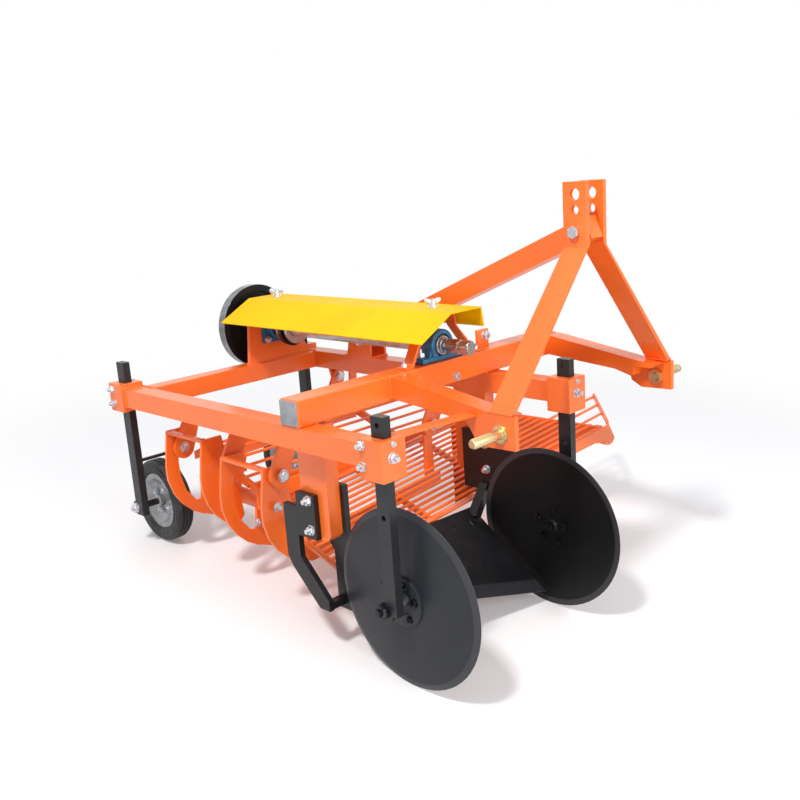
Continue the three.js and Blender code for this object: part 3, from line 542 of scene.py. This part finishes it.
class HARVESTER_OT_frame(bpy.types.Operator):
    """Tubes, hitch arms, mast and brace"""

    bl_idname = "harvester.frame"
    bl_label = "Frame"

    def execute(self, context):
        size = settings()
        for node in ("front_beam", "rear_beam", "side_beam_near", "side_beam_far", "hitch_arm_near", "hitch_arm_far",
                     "mast_brace", "clamp_front_near", "clamp_front_far", "clamp_rear_near", "clamp_rear_far"):
            dress(node, "orange", size.tube_round * (0.5 if "clamp" in node or "arm" in node else 0.8), 50, 3)
        for node in ("mast_near", "mast_far", "brace_bracket", "tie_strap", "guard_strap_front", "pedestal_rear"):
            dress(node, "orange", size.plate_round, 40)
        self.end_caps()
        self.lifting_ear()
        self.welds(size)
        return {"FINISHED"}

    def end_caps(self):
        """Pressed-in plastic caps that close the front beam's tube."""
        caps = bmesh.new()
        for x, out in ((-585, -1), (316, 1)):
            low, high = sorted((x - out * 0.5, x + out * 4.0))
            block(caps, (low, 322.5, 550.8), (high, 377.5, 605.5), 0, 1.8)
            low, high = sorted((x + out * 3.5, x + out * 5.0))
            block(caps, (low, 331, 559), (high, 369, 597), 0, 0.6)
        settle("tube_caps", raised(caps), "frame", "cap")

    def lifting_ear(self):
        """A small angle bolted to the back of the front beam's top."""
        ear = bmesh.new()
        block(ear, (32, 352, 606), (76, 360, 654), 0, 1.5)
        block(ear, (32, 352, 606), (76, 378, 612), 0, 1.5)
        settle("front_ear", raised(ear), "frame", "orange")

    def welds(self, size):
        bead = size.weld
        seams = bmesh.new()
        for side in (-1, 1):
            plate, inner = side * 316.5, side * 304.5
            for x in (side * 266.5, plate):
                weld(seams, (x, 319, 558), (x, 319, 604), bead)
            weld(seams, (side * 268, 319.4, 606.3), (side * 315, 319.4, 606.3), bead)
            weld(seams, (side * 268, 319.4, 556), (side * 315, 319.4, 556), bead)
            weld(seams, (inner, 44, 488), (inner, 72, 504), bead)
            weld(seams, (inner + side * 11, -29, 562.4), (inner + side * 11, 29, 562.4), bead)
            weld(seams, (inner - side * 4, -29, 562.6), (inner - side * 4, 29, 562.6), bead)
        for x in (-535, 25):
            out = 1 if x < 0 else -1
            weld(seams, (x + out, 999, 501), (x + out, 999, 546), bead)
            weld(seams, (x + out, 1000, 548.4), (x + out, 1049, 548.4), bead)
            weld(seams, (x + out, 1051, 501), (x + out, 1051, 546), bead)
        for x in (-585, -535, 25, 75):
            weld(seams, (x, 322, 548.2), (x, 378, 548.2), bead * 0.9)
        for x in (-584, -536, 26, 74):
            weld(seams, (x, 130.2, 502), (x, 130.2, 546), bead)
            weld(seams, (x, 1062.4, 502), (x, 1062.4, 546), bead)
        for x in (-583, 27):
            weld(seams, (x, 130.2, 548.6), (x + 46, 130.2, 548.6), bead)
            weld(seams, (x, 1062.4, 548.6), (x + 46, 1062.4, 548.6), bead)
        for x in (-211, -12):
            weld(seams, (x, 1007.6, 548.8), (x, 1020.4, 548.8), bead)
        weld(seams, (-209, 1007.4, 549), (8, 1007.4, 549), bead)
        weld(seams, (-209, 1020.6, 549), (8, 1020.6, 549), bead)
        for y in (735, 850):
            weld(seams, (27, y, 549.4), (73, y, 549.4), bead)
        for y in (516, 533):
            weld(seams, (-535, y, 480), (-535, y, 540), bead * 0.8)
        for y in (309, 400):
            weld(seams, (-534, y, 505), (-534, y, 540), bead)
            weld(seams, (-533, y, 497.6), (-501, y, 497.6), bead)
        for y in (330, 437):
            weld(seams, (26, y, 497.4), (58, y, 497.4), bead)
        settle("frame_welds", raised(seams), "frame", "orange", smooth=80)


class HARVESTER_OT_fasteners(bpy.types.Operator):
    """Bolts, nuts and wing nuts of the frame, the drive and the carriers"""

    bl_idname = "harvester.fasteners"
    bl_label = "Fasteners"

    def execute(self, context):
        thread = settings().bolt
        hardware = bmesh.new()
        across, back, up = X, Y, Z
        # pinch bolts of the stem clamps, with their free threaded ends
        for y, spread in ((119, ((547, 0.4), (504, 0.1))), (1107, ((545, 0.2), (506, 0.5)))):
            for z, roll in spread:
                bolt(hardware, (-593, y, z), -across, thread, True, 0, roll, 7)
                bolt(hardware, (83, y, z), across, thread, True, 0, roll, 24)
        for x in (-565, 45):
            bolt(hardware, (x + 2, 63.7, 551), -back, thread * 0.7, False, 0, 0.2, 4)
            bolt(hardware, (x - 2, 63.7, 524), -back, thread * 1.15, True, 0, 0.35, 9)
            bolt(hardware, (x, 1128.6, 524), back, thread * 1.15, True, 0, 0.1, 9)
        # carrier plates
        for place in ((-549.8, 359, 371), (-549.8, 356, 303)):
            bolt(hardware, place, -across, thread * 1.15, True, 0, 0.3, 8)
        for place in ((12.4, 326, 363), (12.4, 324, 295)):
            bolt(hardware, place, -across, thread * 1.15, True, 0, 0.1, 8)
        for z in (371, 303):
            bolt(hardware, (-485, 330, z), across, thread * 1.15, True, 0, 0.1, 8)
        # brace foot
        bolt(hardware, (13, 780, 596), -across, thread * 1.25, True, 0, 0.2, 0)
        bolt(hardware, (77, 780, 596), across, thread * 1.25, True, 0, 0.45, 9)
        # feet of the bearing and the guard strap, rear flange, ear, front beam
        for x in (-181, -59):
            bolt(hardware, (x, 350, 625.5), up, thread * 1.2, True, 0, 0.3, 9)
        for x in (-247, 7):
            bolt(hardware, (x, 341, 614.3), up, thread * 0.8, True, 0, 0.2, 5)
        for x, z in ((-151, 614), (-89, 614), (-89, 676), (-151, 676)):
            bolt(hardware, (x, 995, z), -back, thread, True, 0, 0.2, 0)
            bolt(hardware, (x, 1020, z), back, thread, True, 0, 0.5, 6)
        bolt(hardware, (60, 352, 638), -back, thread * 1.3, True, 0, 0.3, 0)
        bolt(hardware, (60, 360, 638), back, thread * 1.3, True, 0, 0.1, 5)
        bolt(hardware, (-91, 320, 564), -back, thread, True, 0, 0.4, 3)
        # hanger pins on the frame
        for x, y, side in HANGER_PINS:
            pin_nut(hardware, (x, y, HANGER_PIN_Z), side)
        # disc and wheel axle nuts outside their stems
        for x, out in ((-570, -1), (60, 1)):
            y, z = wheel_axle()
            bolt(hardware, (x, y, z), out * across, 14, True, 0, 0.4, 6)
            bolt(hardware, (x, DISC_Y, DISC_Z), out * across, 17, True, 1, 0.2, 7)
        settle("frame_bolts", raised(hardware), "frame", ["zinc", "blacked"], smooth=30)
        self.wing_nuts()
        return {"FINISHED"}

    def wing_nuts(self):
        """The two wing nuts that hold the guard down."""
        nuts = bmesh.new()
        for y, roll in ((357, -0.55), (972, -0.85)):
            seat = Vector((SHAFT_X, y, 735))
            round_bar(nuts, seat, seat + Z * 2.4, 14)
            round_bar(nuts, seat, seat + Z * 14, 8.5, 24, 0, 6.8)
            round_bar(nuts, seat, seat + Z * 21, 4.6)
            for turn in (0, math.pi):
                bmesh.ops.create_uvsphere(
                    nuts, u_segments=20, v_segments=12, radius=1,
                    matrix=Matrix.Translation(seat + Z * 15) @ Matrix.Rotation(roll + turn, 4, "Z")
                    @ Matrix.Translation((11.5, 0, 0)) @ Matrix.Rotation(-0.6, 4, "Y")
                    @ Matrix.Diagonal((10.5, 2.2, 7, 1)))
        settle("guard_wing_nuts", raised(nuts), "frame", "zinc", smooth=40)


def pin_nut(bm, place, side):
    """A washer and nut on the end of a hanger pin."""
    at = Vector(place) + Vector((0, side * 17.8, 0))
    along = Vector((0, side, 0))
    round_bar(bm, at, at + along * 2, 15)
    made = bmesh.ops.create_cone(bm, cap_ends=True, segments=6, radius1=13, radius2=13, depth=8,
                                 matrix=facing(along, at + along * 5.5, 0.3))
    face = max({f for v in made["verts"] for f in v.link_faces}, key=lambda f: f.calc_center_median().dot(along))
    bmesh.ops.bevel(bm, geom=list(face.edges), offset=1.4, affect="EDGES", segments=2, profile=0.5, material=-1)
    round_bar(bm, at, at + along * 12, 7.4, 24)


def wheel_axle():
    """Level y and z of the wheel axles."""
    low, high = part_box("wheel_tyre_near")
    centre = UNLEVEL @ ((low + high) / 2)
    return centre.y, centre.z


def seat_on(node, x, y):
    """The highest place of a node at level x, y, and its upward normal."""
    shape = copy_of(node)
    bmesh.ops.transform(shape, matrix=UNLEVEL, verts=shape.verts)
    place, normal = BVHTree.FromBMesh(shape).ray_cast(Vector((x, y, 3000)), Vector((0, 0, -1)))[:2]
    shape.free()
    return place, normal


class HARVESTER_OT_ground_tools(bpy.types.Operator):
    """Coulter discs, their stems, the share and its legs"""

    bl_idname = "harvester.ground_tools"
    bl_label = "Ground tools"

    def execute(self, context):
        size = settings()
        for node in ("disc_stem_near", "disc_stem_far", "wheel_stem_near", "wheel_stem_far"):
            dress(node, "stem", 1.2, 40)
        for node in ("share_arm_near", "share_leg_near", "share_arm_far"):
            dress(node, "black", size.plate_round * 1.3, 25)
        self.share(size)
        for side, x, out in (("near", -512, 1), ("far", 2, -1)):
            self.disc(side, x, out)
        return {"FINISHED"}

    def share(self, size):
        """The ridged share with a worn strip along its cutting edges and four plough bolts."""
        share = copy_of("share")
        bmesh.ops.transform(share, matrix=UNLEVEL, verts=share.verts)
        for side, run in ((-1, (-229.7, -28)), (1, (236, -28))):
            inward = Vector((-run[1], run[0], 0)).normalized() * (1 if run[0] > 0 else -1)
            place = Vector((SHARE_X, 150, 84)) + inward * 30
            middles = ((f, f.calc_center_median()) for f in share.faces)
            half = [f for f, middle in middles if (middle.x - SHARE_X) * side > 0 and middle.z > 0]
            edges = {e for f in half for e in f.edges}
            verts = {v for f in half for v in f.verts}
            bmesh.ops.bisect_plane(share, geom=list(verts) + list(edges) + half, plane_co=place,
                                   plane_no=inward, dist=1e-3)
            for face in share.faces:
                middle = face.calc_center_median()
                if (middle.x - SHARE_X) * side > 2 and (middle - place).dot(inward) < -0.5:
                    face.material_index = 1
        bmesh.ops.transform(share, matrix=LEVEL, verts=share.verts)
        settle("made_share", share, "frame", ["black", "worn"], "share", size.plate_round, 25)
        heads = bmesh.new()
        for x, y in ((-440, 312), (-380, 318), (-130, 318), (-66, 312)):
            place, normal = seat_on("share", x, y)
            round_bar(heads, place - normal, place + normal * 2.2, 11, 32, 0, 9)
            bmesh.ops.create_cone(heads, cap_ends=True, segments=4, radius1=5, radius2=5, depth=0.8,
                                  matrix=facing(normal, place + normal * 2.4))
        settle("share_bolts", raised(heads), "frame", "blacked", smooth=30)

    def disc(self, side, x, out):
        """A dished disc with a ground bevel, five bolts on its hub and a nut on its axle."""
        name = f"coulter_disc_{side}"
        disc = copy_of(name)
        for face in disc.faces:
            middle = UNLEVEL @ face.calc_center_median()
            if math.hypot(middle.y - DISC_Y, middle.z - DISC_Z) > DISC_R - 15:
                face.material_index = 1
        # the near disc takes the paler copy of the disc paint, which is painted light
        settle("made_" + name, disc, body_of(name), ["disc" if side == "far" else "disc_pale", "bevel"], name, 0.4, 30)
        hardware = bmesh.new()
        along = Vector((out, 0, 0))
        for i in range(5):
            angle = 0.4 + i * math.tau / 5
            ring = Vector((0, math.cos(angle), math.sin(angle)))
            bolt(hardware, Vector((x, DISC_Y, DISC_Z)) - along * 8 + ring * 40, -along, 9, True, 0, angle, 3)
            bolt(hardware, Vector((x, DISC_Y, DISC_Z)) + along * 2.4 + ring * 40, along, 9, True, 0, angle, 5)
        hub = Vector((x, DISC_Y, DISC_Z)) + along * 2.2
        round_bar(hardware, hub, hub + along * 7, 21, 40, 1, 17)
        bolt(hardware, hub + along * 6.5, along, 11, False, 0, 0.2, 4)
        settle(f"disc_bolts_{side}", raised(hardware), body_of(name), ["blacked", "disc"], smooth=30)


class HARVESTER_OT_wheels(bpy.types.Operator):
    """Depth wheels: ribbed solid tyres on pressed centres"""

    bl_idname = "harvester.wheels"
    bl_label = "Depth wheels"

    def execute(self, context):
        y, z = wheel_axle()
        for side, x, out in (("near", -484, 1), ("far", -26, -1)):
            place = Vector((x, y, z))
            tread = [(79.3, -18.5), (87, -26.5), (92, -27.4), (94, -26.2), (98, -26.2), (100, -27.4), (103.5, -27.5),
                     (111, -24.5), (114.5, -20), (116.6, -14)]
            for ring in (-10.5, 0, 10.5):
                tread += [(117.5, ring - 4), (113.4, ring - 2.4), (113.4, ring + 2.4), (117.5, ring + 4)]
            tread += [(116.6, 14), (114.5, 20), (111, 24.5), (103.5, 27.5), (100, 27.4), (98, 26.2), (94, 26.2),
                      (92, 27.4), (87, 26.5), (79.3, 18.5)]
            settle(f"made_wheel_tyre_{side}", raised(lathe(tread, place, X, 72)), f"wheel_{side}", "rubber",
                   f"wheel_tyre_{side}", 0.7, 20)
            centre = [(9.3, -23.5), (15, -23.5), (17.8, -20.5), (17.8, -6), (30, -3.4), (44, -5.2), (53, -5), (58, -9),
                      (65, -18.4), (71, -19.6), (74, -22.5), (78.9, -22.5), (78.9, 18.5), (65, 18.5), (53, 4.2),
                      (44, -1.2), (30, 0.8), (17.8, 5.4), (17.8, 20.5), (15, 23.5), (9.3, 23.5)]
            outline = [(r, a if out < 0 else -a) for r, a in centre]
            settle(f"made_wheel_rim_{side}", raised(lathe(outline, place, X, 64)), f"wheel_{side}", "rim",
                   f"wheel_rim_{side}", 0.5, 25)
            hardware = bmesh.new()
            for i in range(4):
                angle = 0.5 + i * math.tau / 4
                ring = Vector((0, math.cos(angle), math.sin(angle))) * 36
                for face in (-1, 1):
                    bolt(hardware, place + ring + Vector((face * 3.6, 0, 0)), (face, 0, 0), 8, True, 0, angle, 3)
            settle(f"wheel_bolts_{side}", raised(hardware), f"wheel_{side}", "zinc", smooth=30)
        return {"FINISHED"}


class HARVESTER_OT_drive(bpy.types.Operator):
    """Shaft, bearings, flywheel, eccentric and guard"""

    bl_idname = "harvester.drive"
    bl_label = "Drive"

    def execute(self, context):
        self.shaft()
        wheel = copy_of("flywheel")
        for face in wheel.faces:
            middle = UNLEVEL @ face.calc_center_median()
            if math.hypot(middle.x - SHAFT_X, middle.z - SHAFT_Z) > 119.5:
                face.material_index = 1
        settle("made_flywheel", wheel, "shaft", ["disc", "edge"], "flywheel", 1.0, 30)
        dress("eccentric", "steel", 0.8, 30)
        dress("connecting_rod", "black", 1.0, 30)
        self.front_bearing()
        dress("bearing_rear", "blue", 2.0, 40, 3)
        dress("drive_guard", "yellow", 0.8, 40)
        self.bearing_parts()
        return {"FINISHED"}

    def shaft(self):
        """The drive shaft: six splines and a locking groove on its stub, then a plain bar."""
        shaft = bmesh.new()
        start = 240.0
        ring = bmesh.ops.create_circle(shaft, cap_ends=True, segments=72, radius=17.4,
                                       matrix=facing(Y, (SHAFT_X, start, SHAFT_Z)))["verts"]
        centre = Vector((SHAFT_X, start, SHAFT_Z))
        for index, vert in enumerate(ring):
            if index % 12 > 6:
                vert.co = centre + (vert.co - centre) * (14.6 / 17.4)
        face = ring[0].link_faces[0]
        cap = face
        for reach, grow in ((2, 1), (24, 1), (0.6, 0.86), (7, 1), (0.6, 1 / 0.86), (42, 1)):
            made = bmesh.ops.extrude_face_region(shaft, geom=[face])["geom"]
            moved = [item for item in made if isinstance(item, bmesh.types.BMVert)]
            bmesh.ops.translate(shaft, verts=moved, vec=(0, reach, 0))
            middle = sum((vert.co for vert in moved), Vector()) / len(moved)
            bmesh.ops.scale(shaft, verts=moved, vec=(grow, 1, grow), space=Matrix.Translation(-middle))
            if face is not cap:
                bmesh.ops.delete(shaft, geom=[face], context="FACES_ONLY")
            face = next(item for item in made if isinstance(item, bmesh.types.BMFace))
        front = [vert for vert in shaft.verts if vert.co.y < start + 0.1]
        bmesh.ops.scale(shaft, verts=front, vec=(0.93, 1, 0.93), space=Matrix.Translation(-centre))
        bmesh.ops.recalc_face_normals(shaft, faces=shaft.faces[:])
        bar = [(0, 314), (17.4, 314), (17.4, 322), (20, 322.4), (20, 1117), (19, 1118), (0, 1118)]
        join(shaft, lathe(bar, (SHAFT_X, 0, SHAFT_Z), Y, 48))
        settle("made_drive_shaft", raised(shaft), "shaft", "steel", "drive_shaft", 0.5, 28)

    def front_bearing(self):
        """The pillow block: a round housing on a webbed foot."""
        bearing = lathe([(20.8, -12), (27.5, -12), (28, -19.5), (36, -19.5), (39, -17),
                         (39, 17), (36, 19.5), (28, 19.5), (27.5, 12), (20.8, 12)],
                        (SHAFT_X, BEARING_Y, SHAFT_Z), Y, 64)
        block(bearing, (SHAFT_X - 75, 328.5, 608.5), (SHAFT_X + 75, 371.5, 622), 0, 4)
        # the webs stand either side of the bore, so that the shaft stays clear of them
        for side in (-1, 1):
            for depth, reach, crown, top in ((15, 47, 34, 650), (19, 38, 32, 640)):
                low, high = sorted((SHAFT_X + side * 28.5, SHAFT_X + side * reach))
                web = block(bearing, (low, BEARING_Y - depth, 620), (high, BEARING_Y + depth, top))
                for vert in web:
                    if vert.co.z > 630 and abs(vert.co.x - SHAFT_X) > 30:
                        vert.co.x = SHAFT_X + side * crown
        for side in (-1, 1):
            x = SHAFT_X + side * 61
            round_bar(bearing, (x, BEARING_Y, 621), (x, BEARING_Y, 625.5), 15, 40)
        settle("made_bearing_front", raised(bearing), "frame", "blue", "bearing_front", 1.2, 35)

    def bearing_parts(self):
        """Seals, locking collars and grease nipple of the front bearing."""
        parts = bmesh.new()
        seal = [(20.4, -0.5), (27.3, -0.5), (27.3, 1), (20.4, 1)]
        collar = [(20.4, 0), (23.5, 0), (23.5, 8), (22.5, 9), (20.4, 9)]
        for y, face in ((BEARING_Y - 12, -1), (BEARING_Y + 12, 1)):
            for look, outline in enumerate((seal, collar)):
                join(parts, lathe(outline, (SHAFT_X, y, SHAFT_Z), (0, face, 0), 48, look))
        round_bar(parts, (SHAFT_X, BEARING_Y, 682), (SHAFT_X, BEARING_Y, 691), 4, 6, 1)
        round_bar(parts, (SHAFT_X, BEARING_Y, 690), (SHAFT_X, BEARING_Y, 696), 2.6, 16, 1, 1.8)
        settle("bearing_details", raised(parts), "frame", ["rubber", "zinc"], smooth=35)


class HARVESTER_OT_sieve(bpy.types.Operator):
    """Shaking sieve and its hangers"""

    bl_idname = "harvester.sieve"
    bl_label = "Sieve"

    def execute(self, context):
        size = settings()
        for node in ("sieve_bed", "rear_grid"):
            dress(node, "orange", None, 50)
        for node in ("sieve_lip", "sieve_rib_front", "sieve_rib_middle", "sieve_rib_rear"):
            dress(node, "orange", size.plate_round, 35)
        for node in frame["nodes"]:
            if node.startswith("hanger_"):
                dress(node, "orange", size.plate_round, 35)
        hardware = bmesh.new()
        for x, y, side in HANGER_PINS:
            foot = (x - HANGER_LENGTH * math.sin(HANGER_LEAN), y,
                    HANGER_PIN_Z - HANGER_LENGTH * math.cos(HANGER_LEAN))
            pin_nut(hardware, foot, side)
        for x, z in ((-520, 313), (-409, 166)):
            bolt(hardware, (x, 518, z), (0, -1, 0), 11, True, 0, 0.3, 4)
        for x, z in ((-415, 372), (-415, 339)):
            bolt(hardware, (x, 941, z), (0, -1, 0), 11, True, 0, 0.2, 4)
        bolt(hardware, (-455, 696, 214), (0, -1, 0), 12, True, 0, 0.2, 5)
        settle("sieve_bolts", raised(hardware), "sieve", "zinc", smooth=30)
        self.welds(size)
        return {"FINISHED"}

    def welds(self, size):
        """Beads where the tube, the rails and the rods' frame meet their plates."""
        seams = bmesh.new()
        for y in (705, 696, 940):
            centre_z = 200 if y == 696 else 240
            for i in range(12):
                a, b = (j * math.tau / 12 for j in (i, i + 1))
                weld(seams, (-395 + 21.5 * math.cos(a), y, centre_z + 21.5 * math.sin(a)),
                     (-395 + 21.5 * math.cos(b), y, centre_z + 21.5 * math.sin(b)), size.weld)
        for y, z in ((695, 408.5), (786, 439.5), (940, 439.5)):
            weld(seams, (-541, y, z), (-529, y, z), size.weld)
        settle("sieve_welds", raised(seams), "sieve", "orange", smooth=80)


class HARVESTER_OT_hitch(bpy.types.Operator):
    """Linkage pins and the mast bolt"""

    bl_idname = "harvester.hitch"
    bl_label = "Hitch pins"

    def execute(self, context):
        for node in ("lower_pin_near", "lower_pin_far"):
            dress(node, "gold", 0.8, 35)
        dress("mast_bolt", "zinc", 0.8, 35)
        extras = bmesh.new()
        for side in (-1, 1):
            # the pin's threaded inner end, its spring washer, and a ring groove near its tip
            start = Vector((side * 290.5, 0, 520))
            for i in range(5):
                at = start - Vector((side * (1 + i * 1.8), 0, 0))
                round_bar(extras, at, at - Vector((side * 0.9, 0, 0)), 10.6, 24)
            round_bar(extras, (side * 316.6, 0, 520), (side * 318.6, 0, 520), 20, 40)
            join(extras, lathe([(10.8, 0), (11.3, 0.4), (11.3, 1.6), (10.8, 2)], (side * 392, 0, 520),
                               (side, 0, 0), 40))
        settle("pin_details", raised(extras), "frame", "gold", smooth=35)
        return {"FINISHED"}


class HARVESTER_OT_stage(bpy.types.Operator):
    """Floor, lamps and camera"""

    bl_idname = "harvester.stage"
    bl_label = "Stage"

    def execute(self, context):
        scene = context.scene
        floor_edit = bmesh.new()
        bmesh.ops.create_grid(floor_edit, x_segments=1, y_segments=1, size=30)
        mesh = bpy.data.meshes.new("floor")
        floor_edit.to_mesh(mesh)
        floor_edit.free()
        floor = bpy.data.objects.new("floor", mesh)
        scene.collection.objects.link(floor)
        floor.data.transform(Matrix.Translation((0, 0, -0.0006)))
        mesh.materials.append(floor_material())
        for name, place, energy, width, tint in (
            ("key", (-2.9, -0.8, 4.2), 150, 0.55, (1, 0.985, 0.97)),
            ("front", (-0.4, -4.2, 1.9), 100, 2.6, (1, 1, 1)),
            ("back", (2.0, 3.4, 3.4), 24, 2.6, (0.97, 0.98, 1)),
        ):
            lamp = bpy.data.lights.new(name, "AREA")
            lamp.shape, lamp.size, lamp.energy, lamp.color = "DISK", width, energy, tint
            made = bpy.data.objects.new(name, lamp)
            made.location = place
            made.rotation_mode = "QUATERNION"
            made.rotation_quaternion = (Vector((0, 0, 0.3)) - Vector(place)).to_track_quat("-Z", "Y")
            scene.collection.objects.link(made)
        make_world(scene)
        camera = bpy.data.cameras.new("camera")
        camera.lens, camera.sensor_width = CAMERA_LENS, CAMERA_SENSOR
        seat = bpy.data.objects.new("camera", camera)
        seat.matrix_world = CAMERA
        scene.collection.objects.link(seat)
        scene.camera = seat
        scene.view_settings.view_transform = "Standard"
        return {"FINISHED"}


CAMERA_LENS, CAMERA_SENSOR = 41.71, 36  # millimetres
CAMERA = Matrix((
    (0.70663, 0.21170, -0.67517, -1.8138),
    (-0.70758, 0.21149, -0.67424, -1.6595),
    (0.00006, 0.95418, 0.29924, 1.1758),
    (0, 0, 0, 1),
))


def floor_material():
    """White to the camera apart from the machine's soft shadow."""
    floor = Finish("floor")
    floor.set(Base_Color=(0.82, 0.82, 0.83), Roughness=0.7, Specular_IOR_Level=0.0)
    lift = floor.node("Emission", Color=(1, 1, 1), Strength=0.12)
    rays = floor.tree.nodes.new("ShaderNodeLightPath")
    seen = Wire(floor.tree, rays.outputs["Is Camera Ray"])
    both = floor.tree.nodes.new("ShaderNodeAddShader")
    floor.tree.links.new(floor.shader.outputs[0], both.inputs[0])
    floor.tree.links.new(lift.out, both.inputs[1])
    mix = floor.node("MixShader", Fac=seen)
    floor.tree.links.new(floor.shader.outputs[0], mix.out.node.inputs[1])
    floor.tree.links.new(both.outputs[0], mix.out.node.inputs[2])
    # away from the machine the floor runs out into plain white
    apart = floor.node("VectorMath", out=1, settings={"operation": "LENGTH"}, Vector=floor.place())
    plain = floor.node("Emission", Color=(1, 1, 1), Strength=1.0)
    fade = floor.node("MixShader", Fac=apart.over(1.3, 2.3) * seen)
    floor.tree.links.new(mix.out, fade.out.node.inputs[1])
    floor.tree.links.new(plain.out, fade.out.node.inputs[2])
    floor.tree.links.new(fade.out, floor.tree.nodes["Material Output"].inputs[0])
    return floor.material


def make_world(scene):
    world = bpy.data.worlds.new("studio")
    scene.world = world
    world.use_nodes = True
    tree = world.node_tree
    light = tree.nodes["Background"]
    light.inputs[0].default_value, light.inputs[1].default_value = (0.95, 0.97, 1, 1), 0.55
    white = tree.nodes.new("ShaderNodeBackground")
    white.inputs[0].default_value, white.inputs[1].default_value = (1, 1, 1, 1), 1.0
    rays = tree.nodes.new("ShaderNodeLightPath")
    seen = Wire(tree, rays.outputs["Is Camera Ray"])
    most = seen.math("MAXIMUM", seen, Wire(tree, rays.outputs["Is Glossy Ray"]))
    mix = tree.nodes.new("ShaderNodeMixShader")
    tree.links.new(most.out, mix.inputs[0])
    tree.links.new(light.outputs[0], mix.inputs[1])
    tree.links.new(white.outputs[0], mix.inputs[2])
    tree.links.new(mix.outputs[0], tree.nodes["World Output"].inputs[0])


# ---- panel and start -----------------------------------------------------------------

OPERATORS = (
    HARVESTER_OT_frame, HARVESTER_OT_fasteners, HARVESTER_OT_ground_tools, HARVESTER_OT_wheels,
    HARVESTER_OT_drive, HARVESTER_OT_sieve, HARVESTER_OT_hitch, HARVESTER_OT_stage,
)


class HARVESTER_PT_panel(bpy.types.Panel):
    bl_label = "Potato harvester"
    bl_idname = "HARVESTER_PT_panel"
    bl_space_type = "VIEW_3D"
    bl_region_type = "UI"
    bl_category = "Harvester"

    def draw(self, context):
        for group in (context.scene.harvester_sizes, context.scene.harvester_colours):
            for name in group.__annotations__:
                self.layout.prop(group, name)
        for operator in OPERATORS:
            self.layout.operator(operator.bl_idname)


CLASSES = (HarvesterSizes, HarvesterColours, *OPERATORS, HARVESTER_PT_panel)


def register():
    for cls in CLASSES:
        bpy.utils.register_class(cls)
    bpy.types.Scene.harvester_sizes = bpy.props.PointerProperty(type=HarvesterSizes)
    bpy.types.Scene.harvester_colours = bpy.props.PointerProperty(type=HarvesterColours)


def unregister():
    del bpy.types.Scene.harvester_colours
    del bpy.types.Scene.harvester_sizes
    for cls in reversed(CLASSES):
        bpy.utils.unregister_class(cls)


def main():
    register()
    make_materials(bpy.context.scene.harvester_colours)
    for operator in OPERATORS:
        getattr(bpy.ops.harvester, operator.bl_idname.split(".")[1])()


if __name__ == "__main__":
    main()
